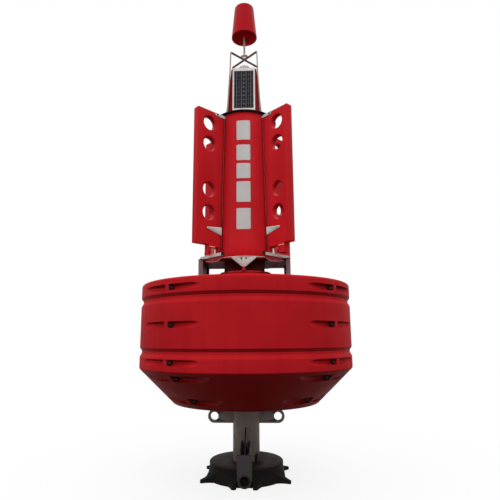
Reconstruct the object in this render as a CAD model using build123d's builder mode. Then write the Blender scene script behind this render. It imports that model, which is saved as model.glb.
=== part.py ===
import os
from math import atan, degrees, isclose

from build123d import *

# Modular lateral buoy, standing on its counterweight.
# Millimetres. +Z up, the ground at z = 0, the axis of the tube at x = y = 0.
# The front, with the forward mooring lug, faces -Y. The four fins stand at 45 degrees.

# Float: four moulded modules round the tube
float_radius = 1435
float_base_radius = 970
float_bore_radius = 190
float_bottom = 945
keel_depth = 455
float_height = 1088
float_edge = 28
neck_radius = 360
neck_height = 185
module_count = 4
module_clocking = 7
seam_gap = 8

# Grooves round the float: the lower edge of the low one above the rim, of the high one below the top
groove_low_height = 153
groove_top_drop = 297
groove_depth = 26
groove_upper_flank = 38
groove_floor = 30
groove_lower_flank = 43

# Bolt pockets each side of a seam: down from the top, up from the rim, and down from the rim
# or up from the bottom on the underside
top_pocket_drop = 117
middle_pocket_height = 535
low_pocket_height = 102
keel_pocket_drop = 80
base_pocket_height = 98
pocket_height = 74
pocket_length = 620
pocket_inset = 46
keel_pocket_inset = 65
flange_thickness = 22

# Tube and the parts welded to it under the float
tube_radius = 177.8
tube_wall = 12.5
tube_foot = 20
tube_end_plate = 16
seat_radius = 420
seat_thickness = 20
seat_web_count = 8
seat_web_depth = 62
seat_web_thickness = 12
padeye_drop = 195
padeye_reach = 428
padeye_eye_radius = 88
padeye_hole = 106
padeye_thickness = 40

# Mooring lugs, front and back, reaching over the counterweight
lug_face = 560
lug_thickness = 40
lug_width = 184
lug_top = 380
lug_eye_height = 87
lug_eye_radius = 83
lug_hole = 116
lug_hole_chamfer = 8
lug_web_height = 635
lug_web_thickness = 16
lug_cheek_height = 470
lug_cheek_thickness = 14
lug_cheek_spacing = 104
lug_arm_bottom = 235

# Counterweight casting
weight_radius = 485
weight_height = 205
weight_edge = 10
weight_bore_clearance = 2
skirt_radius = 507
skirt_height = 30
flare_height = 128
flare_sag = 26
ear_angles = (30, 150, 210, 330)
ear_reach = 656
ear_tip_radius = 22
ear_tip_height = 34
ear_root_width = 250
ear_side_sag = 22
bridge_reach = 588
bridge_width = 316
bridge_root_width = 520
bridge_side_sag = 18
bridge_corner_radius = 26
bridge_slot_width = 200
keeper_angles = (-40, 140)
keeper_length = 42
keeper_width = 64
keeper_height = 88
keeper_chamfer = 10

# Deck between the float and the daymark
deck_rise = 357
deck_thickness = 28
deck_half_length = 627
deck_half_width = 360
post_section = 60
post_foot_margin = 24
post_foot_thickness = 10
pedestal_half_length = 275
pedestal_half_width = 300
pedestal_flange_radius = 366
pedestal_flange_thickness = 10
foot_inner = 506
foot_outer = 640
foot_length = 456
foot_height = 40
foot_plate = 10
foot_gusset_depth = 62
foot_gusset_length = 400
foot_gusset_plate = 14
foot_gusset_inset = 18
foot_gusset_clearance = 16
ring_overhang = 6
ring_thickness = 12
v_gusset_place = 480
v_gusset_width = 330
v_gusset_depth = 128
v_gusset_thickness = 10
v_gusset_edge = 14
v_rod_radius = 13
v_rod_length = 134
v_knob_radius = 22
v_knob_length = 56
v_knob_edge = 7

# Daymark: a tapered shell in four panels, with a fin in a galvanised channel at each split
shell_radius_low = 492
shell_radius_top = 430
shell_height = 2128
shell_wall = 30
shell_groove = 114
core_radius = 380
core_wall = 6
fin_reach = 917
fin_thickness = 90
fin_top_drop = 23
fin_step_reaches = (702, 810)
fin_step_height = 132
fin_notch = (532, 684)
fin_notch_height = 108
fin_edge_radius = 15
fin_hole = 196
fin_hole_flare = 16
fin_hole_reach = 702
fin_hole_heights = (574, 901)
fin_hole_drops = (502, 189)
fin_clearance = 0.5
channel_plate = 8
channel_leg = 10
cap_reach = 610
cap_depth = 42
arm_reach = 738
arm_height = 402
arm_tip_drop = 34
arm_tip_depth = 22
arm_depth = 150

# Pylon above the daymark
disc_radius = 476
disc_thickness = 12
housing_low_width = 540
housing_top_width = 384
housing_height = 825
bar_section = 18
bar_clearance = 0.3
leg_spread_low = 248
leg_spread_mid = 209
leg_spread_top = 200
frame_rise = 288
cross_width = 38
cross_thickness = 8
solar_width = 337
solar_length = 762
solar_thickness = 32
solar_lift = 62
solar_rail = 33
solar_top_rail = 40
solar_cell_recess = 5
lantern_base_radius = 120
lantern_base_height = 42
lantern_radius = 92
lantern_height = 128
lantern_dome_height = 50
lantern_shoulder_radius = 74
lantern_shoulder_height = 34
lantern_crown_radius = 30
bracket_width = 62
bracket_height = 56
bracket_plate = 8

# Topmark
pole_radius = 15
sleeve_radius = 26
sleeve_height = 46
pole_flange_radius = 60
pole_flange_thickness = 10
can_rise = 380
can_height = 540
can_radius_low = 201
can_radius_top = 152
can_wall = 6
can_edge = 20

# Worked-out places
float_rim = float_bottom + keel_depth
float_top = float_rim + float_height
seam_angles = [module_clocking - 45 + 360 / module_count * i for i in range(module_count)]
fin_angles = [45 + 90 * i for i in range(4)]
sides = (("front", -90), ("back", 90))
neck_top = float_top + neck_height
padeye_height = float_bottom - padeye_drop
deck_top = float_top + deck_rise
deck_bottom = deck_top - deck_thickness
foot_top = deck_top + foot_height
shell_bottom = deck_top + ring_thickness
shell_top = shell_bottom + shell_height
fin_top = shell_top - fin_top_drop
fin_holes = [foot_top + height for height in fin_hole_heights]
fin_holes += [fin_top - drop for drop in fin_hole_drops]
arm_top = foot_top + arm_height
arm_tip_top = arm_top - arm_tip_drop
housing_foot = shell_top + disc_thickness
housing_top = housing_foot + housing_height
frame_top = housing_top + frame_rise
can_mouth = frame_top + can_rise
can_top = can_mouth + can_height


def keel_radius(drop):
    """Radius of the conical underside at a depth below the rim."""
    return float_radius + (float_base_radius - float_radius) * drop / keel_depth


def upright_plane(angle, offset=0):
    """Upright plane through the axis: x points outwards at the angle, y points up."""
    outward = Vector(1, 0, 0).rotate(Axis.Z, angle)
    sideways = Vector(0, -1, 0).rotate(Axis.Z, angle)
    return Plane(origin=sideways * offset, x_dir=outward, z_dir=sideways)


def across_plane(angle, reach, height=0):
    """Upright plane square to a radius: x runs sideways, y up, z points outwards."""
    outward = Vector(1, 0, 0).rotate(Axis.Z, angle)
    sideways = Vector(0, 1, 0).rotate(Axis.Z, angle)
    return Plane(origin=outward * reach + Vector(0, 0, height), x_dir=sideways, z_dir=outward)


def turned(angle):
    """Place at the axis, turned about Z."""
    return Location((0, 0, 0), (0, 0, angle))


def rims(part, radius):
    """Round edges of one radius on a part that is being built."""
    return part.edges().filter_by(GeomType.CIRCLE).filter_by(lambda edge: isclose(edge.radius, radius))


def finish(part, name):
    """Label a finished piece and write it to its own file."""
    part.label = name
    export_step(part, f"parts/{name}.step")


os.makedirs("parts", exist_ok=True)

# Float modules
side_pockets = (float_height - top_pocket_drop, middle_pocket_height, low_pocket_height)
bolt_places = [(float_radius - pocket_inset, float_rim + height) for height in side_pockets]
keel_pockets = (keel_pocket_drop, keel_depth - base_pocket_height)
bolt_places += [(keel_radius(drop) - keel_pocket_inset, float_rim - drop) for drop in keel_pockets]

groove_points = []
for height in (groove_low_height, float_height - groove_top_drop):
    floor = float_rim + height + groove_lower_flank
    groove_points.append((float_radius, float_rim + height))
    groove_points.append((float_radius - groove_depth, floor))
    groove_points.append((float_radius - groove_depth, floor + groove_floor))
    groove_points.append((float_radius, floor + groove_floor + groove_upper_flank))

edge_middle = float_edge * (1 - 0.5**0.5)
for index, seam in enumerate(seam_angles):
    with BuildPart() as module:
        with BuildSketch(upright_plane(seam)):
            with BuildLine():
                Polyline(
                    (float_bore_radius, float_bottom),
                    (float_base_radius, float_bottom),
                    (float_radius, float_rim),
                    *groove_points,
                    (float_radius, float_top - float_edge),
                    (float_radius - edge_middle, float_top - edge_middle),
                    (float_radius - float_edge, float_top),
                    (neck_radius, float_top),
                    (neck_radius, neck_top),
                    (float_bore_radius, neck_top),
                    close=True,
                )
            make_face()
        revolve(axis=Axis.Z, revolution_arc=360 / module_count)
        for turn, at in ((1, seam), (-1, seam + 360 / module_count)):
            with BuildSketch(upright_plane(at)):
                with Locations((float_radius / 2, neck_top / 2)):
                    Rectangle(float_radius + seam_gap, neck_top + seam_gap)
            extrude(amount=-turn * seam_gap / 2, mode=Mode.SUBTRACT)
            with BuildSketch(upright_plane(at, -turn * (seam_gap / 2 + flange_thickness))):
                with Locations(*bolt_places):
                    Circle(pocket_height / 2)
                    Rectangle(pocket_length, pocket_height, align=(Align.MIN, Align.CENTER))
            extrude(amount=-turn * pocket_length, mode=Mode.SUBTRACT)
    finish(module.part, f"float_module_{index + 1}")

# Central tube, closed at its foot by an end plate
with BuildPart() as tail_tube:
    with BuildSketch(Plane.XY.offset(tube_foot)):
        Circle(tube_radius)
    extrude(amount=neck_top - tube_foot)
    with BuildSketch(Plane.XY.offset(tube_foot + tube_end_plate)):
        Circle(tube_radius - tube_wall)
    extrude(amount=neck_top - tube_foot - tube_end_plate, mode=Mode.SUBTRACT)
finish(tail_tube.part, "tail_tube")

# Seat that carries the float on the tube
seat_bottom = float_bottom - seat_thickness
with BuildPart() as float_seat:
    with BuildSketch(Plane.XY.offset(seat_bottom)):
        Circle(seat_radius)
    extrude(amount=seat_thickness)
    for index in range(seat_web_count):
        with BuildSketch(upright_plane((index + 0.5) * 360 / seat_web_count)):
            with BuildLine():
                Polyline(
                    (0, seat_bottom),
                    (seat_radius - seat_web_thickness, seat_bottom),
                    (tube_radius + seat_web_thickness, seat_bottom - seat_web_depth),
                    (0, seat_bottom - seat_web_depth),
                    close=True,
                )
            make_face()
        extrude(amount=seat_web_thickness / 2, both=True)
    with BuildSketch():
        Circle(tube_radius)
    extrude(amount=float_bottom, mode=Mode.SUBTRACT)
finish(float_seat.part, "float_seat")

# Side padeyes
for name, angle in (("padeye_right", 0), ("padeye_left", 180)):
    with BuildPart() as padeye:
        with BuildSketch(upright_plane(angle)):
            with Locations((padeye_reach / 2, padeye_height)):
                Rectangle(padeye_reach, 2 * padeye_eye_radius)
            with Locations((padeye_reach, padeye_height)):
                Circle(padeye_eye_radius)
                Circle(padeye_hole / 2, mode=Mode.SUBTRACT)
        extrude(amount=padeye_thickness / 2, both=True)
        with BuildSketch():
            Circle(tube_radius)
        extrude(amount=float_bottom, mode=Mode.SUBTRACT)
    finish(padeye.part, name)

# Mooring lugs over the counterweight
lug_back = lug_face - lug_thickness
for name, angle in sides:
    with BuildPart() as lug:
        with BuildSketch(across_plane(angle, lug_back)):
            with Locations((0, (lug_eye_height + lug_top) / 2)):
                Rectangle(lug_width, lug_top - lug_eye_height)
            with Locations((0, lug_eye_height)):
                Circle(lug_eye_radius)
        extrude(amount=lug_thickness)
        webs = [(0, lug_web_thickness, lug_web_height)]
        webs += [(s * lug_cheek_spacing / 2, lug_cheek_thickness, lug_cheek_height) for s in (-1, 1)]
        for place, thickness, height in webs:
            with BuildSketch(upright_plane(angle, place)):
                with BuildLine():
                    Polyline(
                        (0, lug_arm_bottom),
                        (lug_back, lug_arm_bottom),
                        (lug_back, lug_top),
                        (tube_radius, height),
                        (0, height),
                        close=True,
                    )
                make_face()
            extrude(amount=thickness / 2, both=True)
        with BuildSketch():
            Circle(tube_radius)
        extrude(amount=float_bottom, mode=Mode.SUBTRACT)
        with BuildSketch(across_plane(angle, lug_back, lug_eye_height)):
            Circle(lug_hole / 2)
        extrude(amount=lug_thickness, mode=Mode.SUBTRACT)
        chamfer(rims(lug, lug_hole / 2), length=lug_hole_chamfer)
    finish(lug.part, f"mooring_lug_{name}")

# Counterweight: a round casting whose foot flares into ears and a bridge at each lug
with BuildSketch() as ear:
    root_place = (weight_radius**2 - (ear_root_width / 2) ** 2) ** 0.5
    tip_place = ear_reach - ear_tip_radius
    with BuildLine():
        ThreePointArc((tip_place, -ear_tip_radius), (ear_reach, 0), (tip_place, ear_tip_radius))
        SagittaArc((tip_place, ear_tip_radius), (root_place, ear_root_width / 2), ear_side_sag)
        Polyline((root_place, ear_root_width / 2), (tube_radius, 0), (root_place, -ear_root_width / 2))
        SagittaArc((root_place, -ear_root_width / 2), (tip_place, -ear_tip_radius), ear_side_sag)
    make_face()

with BuildSketch() as bridge:
    root_place = (weight_radius**2 - (bridge_root_width / 2) ** 2) ** 0.5
    with BuildLine():
        SagittaArc((bridge_reach, bridge_width / 2), (root_place, bridge_root_width / 2), bridge_side_sag)
        Polyline((root_place, bridge_root_width / 2), (tube_radius, 0), (root_place, -bridge_root_width / 2))
        SagittaArc((root_place, -bridge_root_width / 2), (bridge_reach, -bridge_width / 2), bridge_side_sag)
        Line((bridge_reach, -bridge_width / 2), (bridge_reach, bridge_width / 2))
    make_face()
    with Locations((skirt_radius + ear_reach / 2, 0)):
        Rectangle(ear_reach, bridge_slot_width, mode=Mode.SUBTRACT)
    fillet(bridge.vertices().group_by(Axis.X)[-1], radius=bridge_corner_radius)

with BuildPart() as flare:
    flare_out = ear_reach - weight_radius
    flare_rise = flare_height - ear_tip_height
    flare_slope = (flare_out**2 + flare_rise**2) ** 0.5
    flare_middle_reach = weight_radius + flare_out / 2 - flare_sag * flare_rise / flare_slope
    flare_middle_height = ear_tip_height + flare_rise / 2 - flare_sag * flare_out / flare_slope
    with BuildSketch(Plane.XZ):
        with BuildLine():
            Polyline(
                (tube_radius, 0),
                (ear_reach, 0),
                (ear_reach, ear_tip_height),
                (flare_middle_reach, flare_middle_height),
                (weight_radius, flare_height),
                (tube_radius, flare_height),
                close=True,
            )
        make_face()
    revolve(axis=Axis.Z)
    with BuildSketch():
        with Locations(*[turned(angle) for angle in ear_angles]):
            add(ear.sketch)
        with Locations(*[turned(angle) for name, angle in sides]):
            add(bridge.sketch)
    extrude(amount=flare_height, mode=Mode.INTERSECT)

with BuildPart() as counterweight:
    with BuildSketch(Plane.XZ) as weight_profile:
        with BuildLine():
            Polyline(
                (0, 0),
                (skirt_radius, 0),
                (skirt_radius, skirt_height),
                (weight_radius, flare_height),
                (weight_radius, weight_height),
                (0, weight_height),
                close=True,
            )
        make_face()
        weight_corner = weight_profile.vertices().sort_by_distance((weight_radius, weight_height))[0]
        chamfer(weight_corner, length=weight_edge)
    revolve(axis=Axis.Z)
    add(flare.part)
    with BuildSketch():
        Circle(tube_radius + weight_bore_clearance)
    extrude(amount=weight_height, mode=Mode.SUBTRACT)
finish(counterweight.part, "counterweight")

# Blocks that hold the casting down on the tube
with BuildPart() as keeper_blocks:
    for angle in keeper_angles:
        with BuildSketch(across_plane(angle, 0, weight_height)):
            with Locations((0, keeper_height / 2)):
                Rectangle(keeper_width, keeper_height)
        extrude(amount=tube_radius + keeper_length)
    with BuildSketch():
        Circle(tube_radius)
    extrude(amount=float_bottom, mode=Mode.SUBTRACT)
    keeper_tops = keeper_blocks.edges().group_by(Axis.Z)[-1].filter_by(GeomType.LINE)
    chamfer(keeper_tops, length=keeper_chamfer)
finish(keeper_blocks.part, "keeper_blocks")

# Deck plate on four posts, open for the pedestal
with BuildPart() as deck_frame:
    post_places = (2 * deck_half_length - post_section, 2 * deck_half_width - post_section, 2, 2)
    with BuildSketch(Plane.XY.offset(deck_bottom)):
        Rectangle(2 * deck_half_length, 2 * deck_half_width)
        Rectangle(2 * pedestal_half_length, 2 * pedestal_half_width, mode=Mode.SUBTRACT)
    extrude(amount=deck_thickness)
    with BuildSketch(Plane.XY.offset(float_top)):
        with GridLocations(*post_places):
            Rectangle(post_section, post_section)
    extrude(amount=deck_bottom - float_top)
    with BuildSketch(Plane.XY.offset(float_top)):
        with GridLocations(*post_places):
            Rectangle(post_section + 2 * post_foot_margin, post_section + 2 * post_foot_margin)
    extrude(amount=post_foot_thickness)
finish(deck_frame.part, "deck_frame")

# Pedestal between the neck of the float and the daymark
with BuildPart() as pedestal:
    with BuildSketch(Plane.XY.offset(neck_top)):
        Rectangle(2 * pedestal_half_length, 2 * pedestal_half_width)
    extrude(amount=deck_top - neck_top)
    with BuildSketch(Plane.XY.offset(neck_top)):
        Circle(pedestal_flange_radius)
    extrude(amount=pedestal_flange_thickness)
finish(pedestal.part, "pedestal")

# Feet under the fins: a channel across the fin, with a rounded gusset under its outer side
for index, angle in enumerate(fin_angles):
    with BuildPart() as foot:
        with BuildSketch(Plane.XY.offset(deck_top).rotated((0, 0, angle))):
            with Locations(((foot_inner + foot_outer) / 2, 0)):
                Rectangle(foot_outer - foot_inner, foot_length)
        extrude(amount=foot_height)
        offset(amount=-foot_plate, openings=foot.faces().sort_by(Axis.Z)[0])
        with BuildSketch(across_plane(angle, foot_outer - foot_gusset_inset, deck_top)):
            with BuildLine():
                half = foot_gusset_length / 2
                root = foot_height - foot_plate
                ThreePointArc((-half, 0), (0, -foot_gusset_depth), (half, 0))
                Polyline((half, 0), (half, root), (-half, root), (-half, 0))
            make_face()
        extrude(amount=-foot_gusset_plate)
        with BuildSketch(Plane.XY.offset(deck_top)):
            Rectangle(2 * deck_half_length, 2 * (deck_half_width + foot_gusset_clearance))
        extrude(amount=-foot_gusset_depth, mode=Mode.SUBTRACT)
    finish(foot.part, f"fin_foot_{index + 1}")

# Ring under the daymark, notched where the fins pass
with BuildPart() as base_ring:
    with BuildSketch(Plane.XY.offset(deck_top)):
        Circle(shell_radius_low + ring_overhang)
        with Locations(*[turned(angle) for angle in fin_angles]):
            with Locations((core_radius + shell_radius_low / 2, 0)):
                Rectangle(shell_radius_low, shell_groove, mode=Mode.SUBTRACT)
    extrude(amount=ring_thickness)
finish(base_ring.part, "base_ring")

# V gussets under the ring, each on an upright rod
for name, angle in sides:
    with BuildPart() as v_gusset:
        with BuildSketch(across_plane(angle, v_gusset_place, deck_top)):
            for side in (-1, 1):
                with BuildLine():
                    Polyline(
                        (0, 0),
                        (side * v_gusset_width / 2, 0),
                        (side * v_gusset_width / 2, -v_gusset_edge),
                        (side * (v_rod_radius + v_gusset_edge), -v_gusset_depth),
                        (0, -v_gusset_depth),
                        close=True,
                    )
                make_face()
        extrude(amount=v_gusset_thickness / 2, both=True)
        rod_centre = across_plane(angle, v_gusset_place).origin
        with BuildSketch(Plane.XY.offset(deck_top)):
            with Locations((rod_centre.X, rod_centre.Y)):
                Circle(v_rod_radius)
        extrude(amount=-v_rod_length)
    finish(v_gusset.part, f"v_gusset_{name}")

with BuildPart() as rod_knobs:
    with BuildSketch(Plane.XY.offset(deck_top - v_rod_length)):
        with Locations((0, -v_gusset_place), (0, v_gusset_place)):
            Circle(v_knob_radius)
    extrude(amount=-v_knob_length)
    chamfer(rod_knobs.edges().filter_by(GeomType.CIRCLE), length=v_knob_edge)
finish(rod_knobs.part, "rod_knobs")

# Daymark core: the tube that carries the channels
with BuildPart() as daymark_core:
    with BuildSketch(Plane.XY.offset(shell_bottom)):
        Circle(core_radius)
        Circle(core_radius - core_wall, mode=Mode.SUBTRACT)
    extrude(amount=shell_height)
finish(daymark_core.part, "daymark_core")

# Daymark panels between the fins
panel_names = ("back", "left", "front", "right")
for name, angle in zip(panel_names, fin_angles):
    with BuildPart() as panel:
        with BuildSketch(upright_plane(angle)):
            with BuildLine():
                Polyline(
                    (shell_radius_low, shell_bottom),
                    (shell_radius_top, shell_top),
                    (shell_radius_top - shell_wall, shell_top),
                    (shell_radius_low - shell_wall, shell_bottom),
                    close=True,
                )
            make_face()
        revolve(axis=Axis.Z, revolution_arc=90)
        for turn, at in ((1, angle), (-1, angle + 90)):
            with BuildSketch(upright_plane(at)):
                with Locations((shell_radius_low / 2, shell_top / 2)):
                    Rectangle(shell_radius_low + shell_wall, shell_top + shell_wall)
            extrude(amount=-turn * shell_groove / 2, mode=Mode.SUBTRACT)
    finish(panel.part, f"daymark_panel_{name}")

# Fins and the channels that hold them
fin_inset = channel_plate + fin_clearance
fin_outside = fin_thickness / 2 + fin_clearance
cap_under = fin_top - channel_plate - fin_clearance
for index, angle in enumerate(fin_angles):
    step_reach = fin_step_reaches[index % 2]
    with BuildPart() as fin:
        with BuildSketch(upright_plane(angle)) as fin_profile:
            with BuildLine():
                Polyline(
                    (core_radius + fin_inset, foot_top),
                    (fin_notch[0], foot_top),
                    (fin_notch[0], foot_top + fin_notch_height),
                    (fin_notch[1], foot_top + fin_notch_height),
                    (fin_notch[1], foot_top),
                    (step_reach, foot_top),
                    (step_reach, foot_top + fin_step_height),
                    (fin_reach, foot_top + fin_step_height),
                    (fin_reach, fin_top),
                    (cap_reach + fin_clearance, fin_top),
                    (cap_reach + fin_clearance, cap_under),
                    (core_radius + fin_inset, cap_under),
                    close=True,
                )
            make_face()
            outer_corner = fin_profile.vertices().sort_by_distance((fin_reach, fin_top))[0]
            fillet(outer_corner, radius=fin_edge_radius)
            with Locations(*[(fin_hole_reach, height) for height in fin_holes]):
                Circle(fin_hole / 2, mode=Mode.SUBTRACT)
        extrude(amount=fin_thickness / 2, both=True)
        chamfer(rims(fin, fin_hole / 2), length=fin_hole_flare)
    finish(fin.part, f"fin_{index + 1}")

    with BuildPart() as channel:
        with BuildSketch(upright_plane(angle)):
            with BuildLine():
                Polyline(
                    (core_radius, deck_top),
                    (shell_radius_low + channel_leg, deck_top),
                    (shell_radius_top + channel_leg, fin_top),
                    (core_radius, fin_top),
                    close=True,
                )
            make_face()
            with BuildLine():
                Polyline(
                    (core_radius, fin_top - cap_depth),
                    (cap_reach, fin_top - cap_depth),
                    (cap_reach, fin_top),
                    (core_radius, fin_top),
                    close=True,
                )
            make_face()
            with BuildLine():
                Polyline(
                    (core_radius, arm_top),
                    (arm_reach, arm_tip_top),
                    (arm_reach, arm_tip_top - arm_tip_depth),
                    (core_radius, arm_top - arm_depth),
                    close=True,
                )
            make_face()
        extrude(amount=fin_outside + channel_plate, both=True)
        with BuildSketch(upright_plane(angle)):
            with BuildLine():
                Polyline(
                    (core_radius + channel_plate, deck_top),
                    (fin_reach, deck_top),
                    (fin_reach, cap_under + fin_clearance),
                    (core_radius + channel_plate, cap_under + fin_clearance),
                    close=True,
                )
            make_face()
        extrude(amount=fin_outside, both=True, mode=Mode.SUBTRACT)
    finish(channel.part, f"fin_channel_{index + 1}")

# Cover disc over the daymark
with BuildPart() as cover_disc:
    with BuildSketch(Plane.XY.offset(shell_top)):
        Circle(disc_radius)
    extrude(amount=disc_thickness)
finish(cover_disc.part, "cover_disc")

# Pylon housing
slope_run = (housing_low_width - housing_top_width) / 2
with BuildPart() as pylon_housing:
    with BuildSketch(Plane.XY.offset(housing_foot)):
        Rectangle(housing_low_width, housing_low_width)
    extrude(amount=housing_height, taper=degrees(atan(slope_run / housing_height)))
finish(pylon_housing.part, "pylon_housing")

# Topmark frame: four bars up the housing, and a flat cross at their tops
with BuildPart() as topmark_frame:
    for x_side, y_side in ((-1, -1), (1, -1), (1, 1), (-1, 1)):
        low_reach = housing_low_width / 2 + bar_section / 2 + bar_clearance
        mid_reach = housing_top_width / 2 + bar_section / 2 + bar_clearance
        leg_points = [
            (x_side * leg_spread_low, y_side * low_reach, housing_foot),
            (x_side * leg_spread_mid, y_side * mid_reach, housing_top),
            (x_side * leg_spread_top, y_side * leg_spread_top, frame_top),
        ]
        for stretch in zip(leg_points, leg_points[1:]):
            for x, y, z in stretch:
                with BuildSketch(Plane.XY.offset(z)):
                    with Locations((x, y)):
                        Rectangle(bar_section, bar_section)
            loft()
    with BuildSketch(Plane.XY.offset(frame_top)):
        with Locations(turned(45), turned(-45)):
            Rectangle(2 * leg_spread_top * 2**0.5, cross_width)
        Rectangle(2 * leg_spread_top + bar_section, 2 * leg_spread_top + bar_section, mode=Mode.INTERSECT)
    extrude(amount=-cross_thickness)
finish(topmark_frame.part, "topmark_frame")

# Solar panels on the front and back of the housing
for name, angle in sides:
    outward = across_plane(angle, 0).z_dir
    up_slope = (outward * -slope_run + Vector(0, 0, housing_height)).normalized()
    across = across_plane(angle, 0).x_dir
    face_plane = Plane(
        origin=outward * housing_low_width / 2 + Vector(0, 0, housing_foot),
        x_dir=across,
        z_dir=across.cross(up_slope),
    )
    with BuildPart() as solar_panel:
        with BuildSketch(face_plane):
            with Locations((0, solar_lift + solar_length / 2)):
                Rectangle(solar_width, solar_length)
        extrude(amount=solar_thickness)
        with BuildSketch(face_plane.offset(solar_thickness)):
            with Locations((0, solar_lift + solar_length / 2)):
                Rectangle(solar_width - 2 * solar_rail, solar_length - 2 * solar_top_rail)
        extrude(amount=-solar_cell_recess, mode=Mode.SUBTRACT)
    finish(solar_panel.part, f"solar_panel_{name}")

# Lantern
with BuildPart() as lantern_base:
    with BuildSketch(Plane.XY.offset(housing_top)):
        Circle(lantern_base_radius)
    extrude(amount=lantern_base_height)
finish(lantern_base.part, "lantern_base")

lantern_foot = housing_top + lantern_base_height
lantern_top = lantern_foot + lantern_height
shoulder = lantern_top - lantern_dome_height + lantern_shoulder_height
with BuildPart() as lantern_lens:
    with BuildSketch(Plane.XZ):
        with BuildLine():
            Polyline(
                (0, lantern_foot),
                (lantern_radius, lantern_foot),
                (lantern_radius, lantern_top - lantern_dome_height),
                (lantern_shoulder_radius, shoulder),
                (lantern_crown_radius, lantern_top),
                (0, lantern_top),
                close=True,
            )
        make_face()
    revolve(axis=Axis.Z)
finish(lantern_lens.part, "lantern_lens")

# Small foot bracket beside the front right leg
bracket_front = housing_low_width / 2 + bar_section + bar_clearance
bracket_place = (leg_spread_low + bar_section / 2, -bracket_front, housing_foot)
with BuildPart() as foot_bracket:
    with BuildSketch(Plane.XZ.offset(-bracket_place[1])):
        with BuildLine():
            Polyline(
                (bracket_place[0] - bracket_width / 2, bracket_place[2]),
                (bracket_place[0] + bracket_width / 2, bracket_place[2]),
                (bracket_place[0] + bracket_width / 2, bracket_place[2] + bracket_height / 2),
                (bracket_place[0], bracket_place[2] + bracket_height),
                (bracket_place[0] - bracket_width / 2, bracket_place[2] + bracket_height),
                close=True,
            )
        make_face()
    extrude(amount=bracket_plate)
finish(foot_bracket.part, "foot_bracket")

# Topmark pole with its flange
with BuildPart() as topmark_pole:
    with BuildSketch(Plane.XY.offset(frame_top)):
        Circle(sleeve_radius)
    extrude(amount=sleeve_height)
    with BuildSketch(Plane.XY.offset(frame_top + sleeve_height)):
        Circle(pole_flange_radius)
    extrude(amount=pole_flange_thickness)
    with BuildSketch(Plane.XY.offset(frame_top)):
        Circle(pole_radius)
    extrude(amount=can_top - can_wall - frame_top)
finish(topmark_pole.part, "topmark_pole")

# Topmark can, open below
with BuildPart() as topmark_can:
    with BuildSketch(Plane.XZ) as can_profile:
        with BuildLine():
            Line((0, can_top), (0, can_mouth))
            Polyline((0, can_mouth), (can_radius_low, can_mouth), (can_radius_top, can_top), (0, can_top))
        make_face()
        can_corner = can_profile.vertices().sort_by_distance((can_radius_top, can_top))[0]
        chamfer(can_corner, length=can_edge)
    revolve(axis=Axis.Z)
    offset(amount=-can_wall, openings=topmark_can.faces().sort_by(Axis.Z)[0])
finish(topmark_can.part, "topmark_can")
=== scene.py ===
"""Looks of a modular navigation buoy that stands on its counterweight.

Lengths are metres in the frame's own axes: +Z up, the front facing -Y, the ground at z = 0.
"""

import logging
import math
import random
from dataclasses import dataclass
from enum import Enum
from itertools import product
from typing import Callable, Optional, Sequence, Union

import bmesh
import bpy
import numpy as np
from mathutils import Matrix, Vector


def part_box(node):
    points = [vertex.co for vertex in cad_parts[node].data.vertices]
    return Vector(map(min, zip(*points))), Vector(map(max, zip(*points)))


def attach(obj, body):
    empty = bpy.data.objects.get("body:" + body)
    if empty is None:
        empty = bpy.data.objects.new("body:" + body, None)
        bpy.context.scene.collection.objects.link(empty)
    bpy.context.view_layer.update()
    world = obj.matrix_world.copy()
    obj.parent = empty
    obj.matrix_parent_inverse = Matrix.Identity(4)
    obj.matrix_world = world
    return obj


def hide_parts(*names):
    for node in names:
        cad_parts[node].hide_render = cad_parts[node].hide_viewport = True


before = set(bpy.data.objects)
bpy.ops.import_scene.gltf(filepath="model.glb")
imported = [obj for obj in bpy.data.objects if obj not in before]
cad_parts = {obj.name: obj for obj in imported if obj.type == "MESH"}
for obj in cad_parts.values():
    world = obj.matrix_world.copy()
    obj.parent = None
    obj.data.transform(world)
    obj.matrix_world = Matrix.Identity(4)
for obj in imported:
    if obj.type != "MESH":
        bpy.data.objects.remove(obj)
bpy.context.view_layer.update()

BODY = "root"
LOG = logging.getLogger("buoy")

Colour = tuple[float, float, float, float]
Corner = tuple[float, float, float]
Point = Sequence[float]

SIDES = (-1.0, 1.0)
FACES = (("front", -1.0), ("back", 1.0))
QUARTERS = range(4)
WHITE: Colour = (1.0, 1.0, 1.0, 1.0)
TINY = 1e-6
WELD_REACH = 1e-5
SMOOTH_ANGLE = 32.0
BEAD_ANGLE = 60.0
ROD_SIDES = 8
WASHER_STEPS = 24
STUD_STEPS = 14


def paint(red: int, green: int, blue: int) -> Colour:
    """Turn a colour as it shows on a screen into shader values.

    Args:
        red: Red, 0 to 255.
        green: Green, 0 to 255.
        blue: Blue, 0 to 255.

    Returns:
        The linear colour with an alpha of 1.
    """

    def linear(level: int) -> float:
        """Undo the display curve of one channel."""
        share = level / 255
        return share / 12.92 if share <= 0.04045 else ((share + 0.055) / 1.055) ** 2.4

    return (linear(red), linear(green), linear(blue), 1.0)


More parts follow.
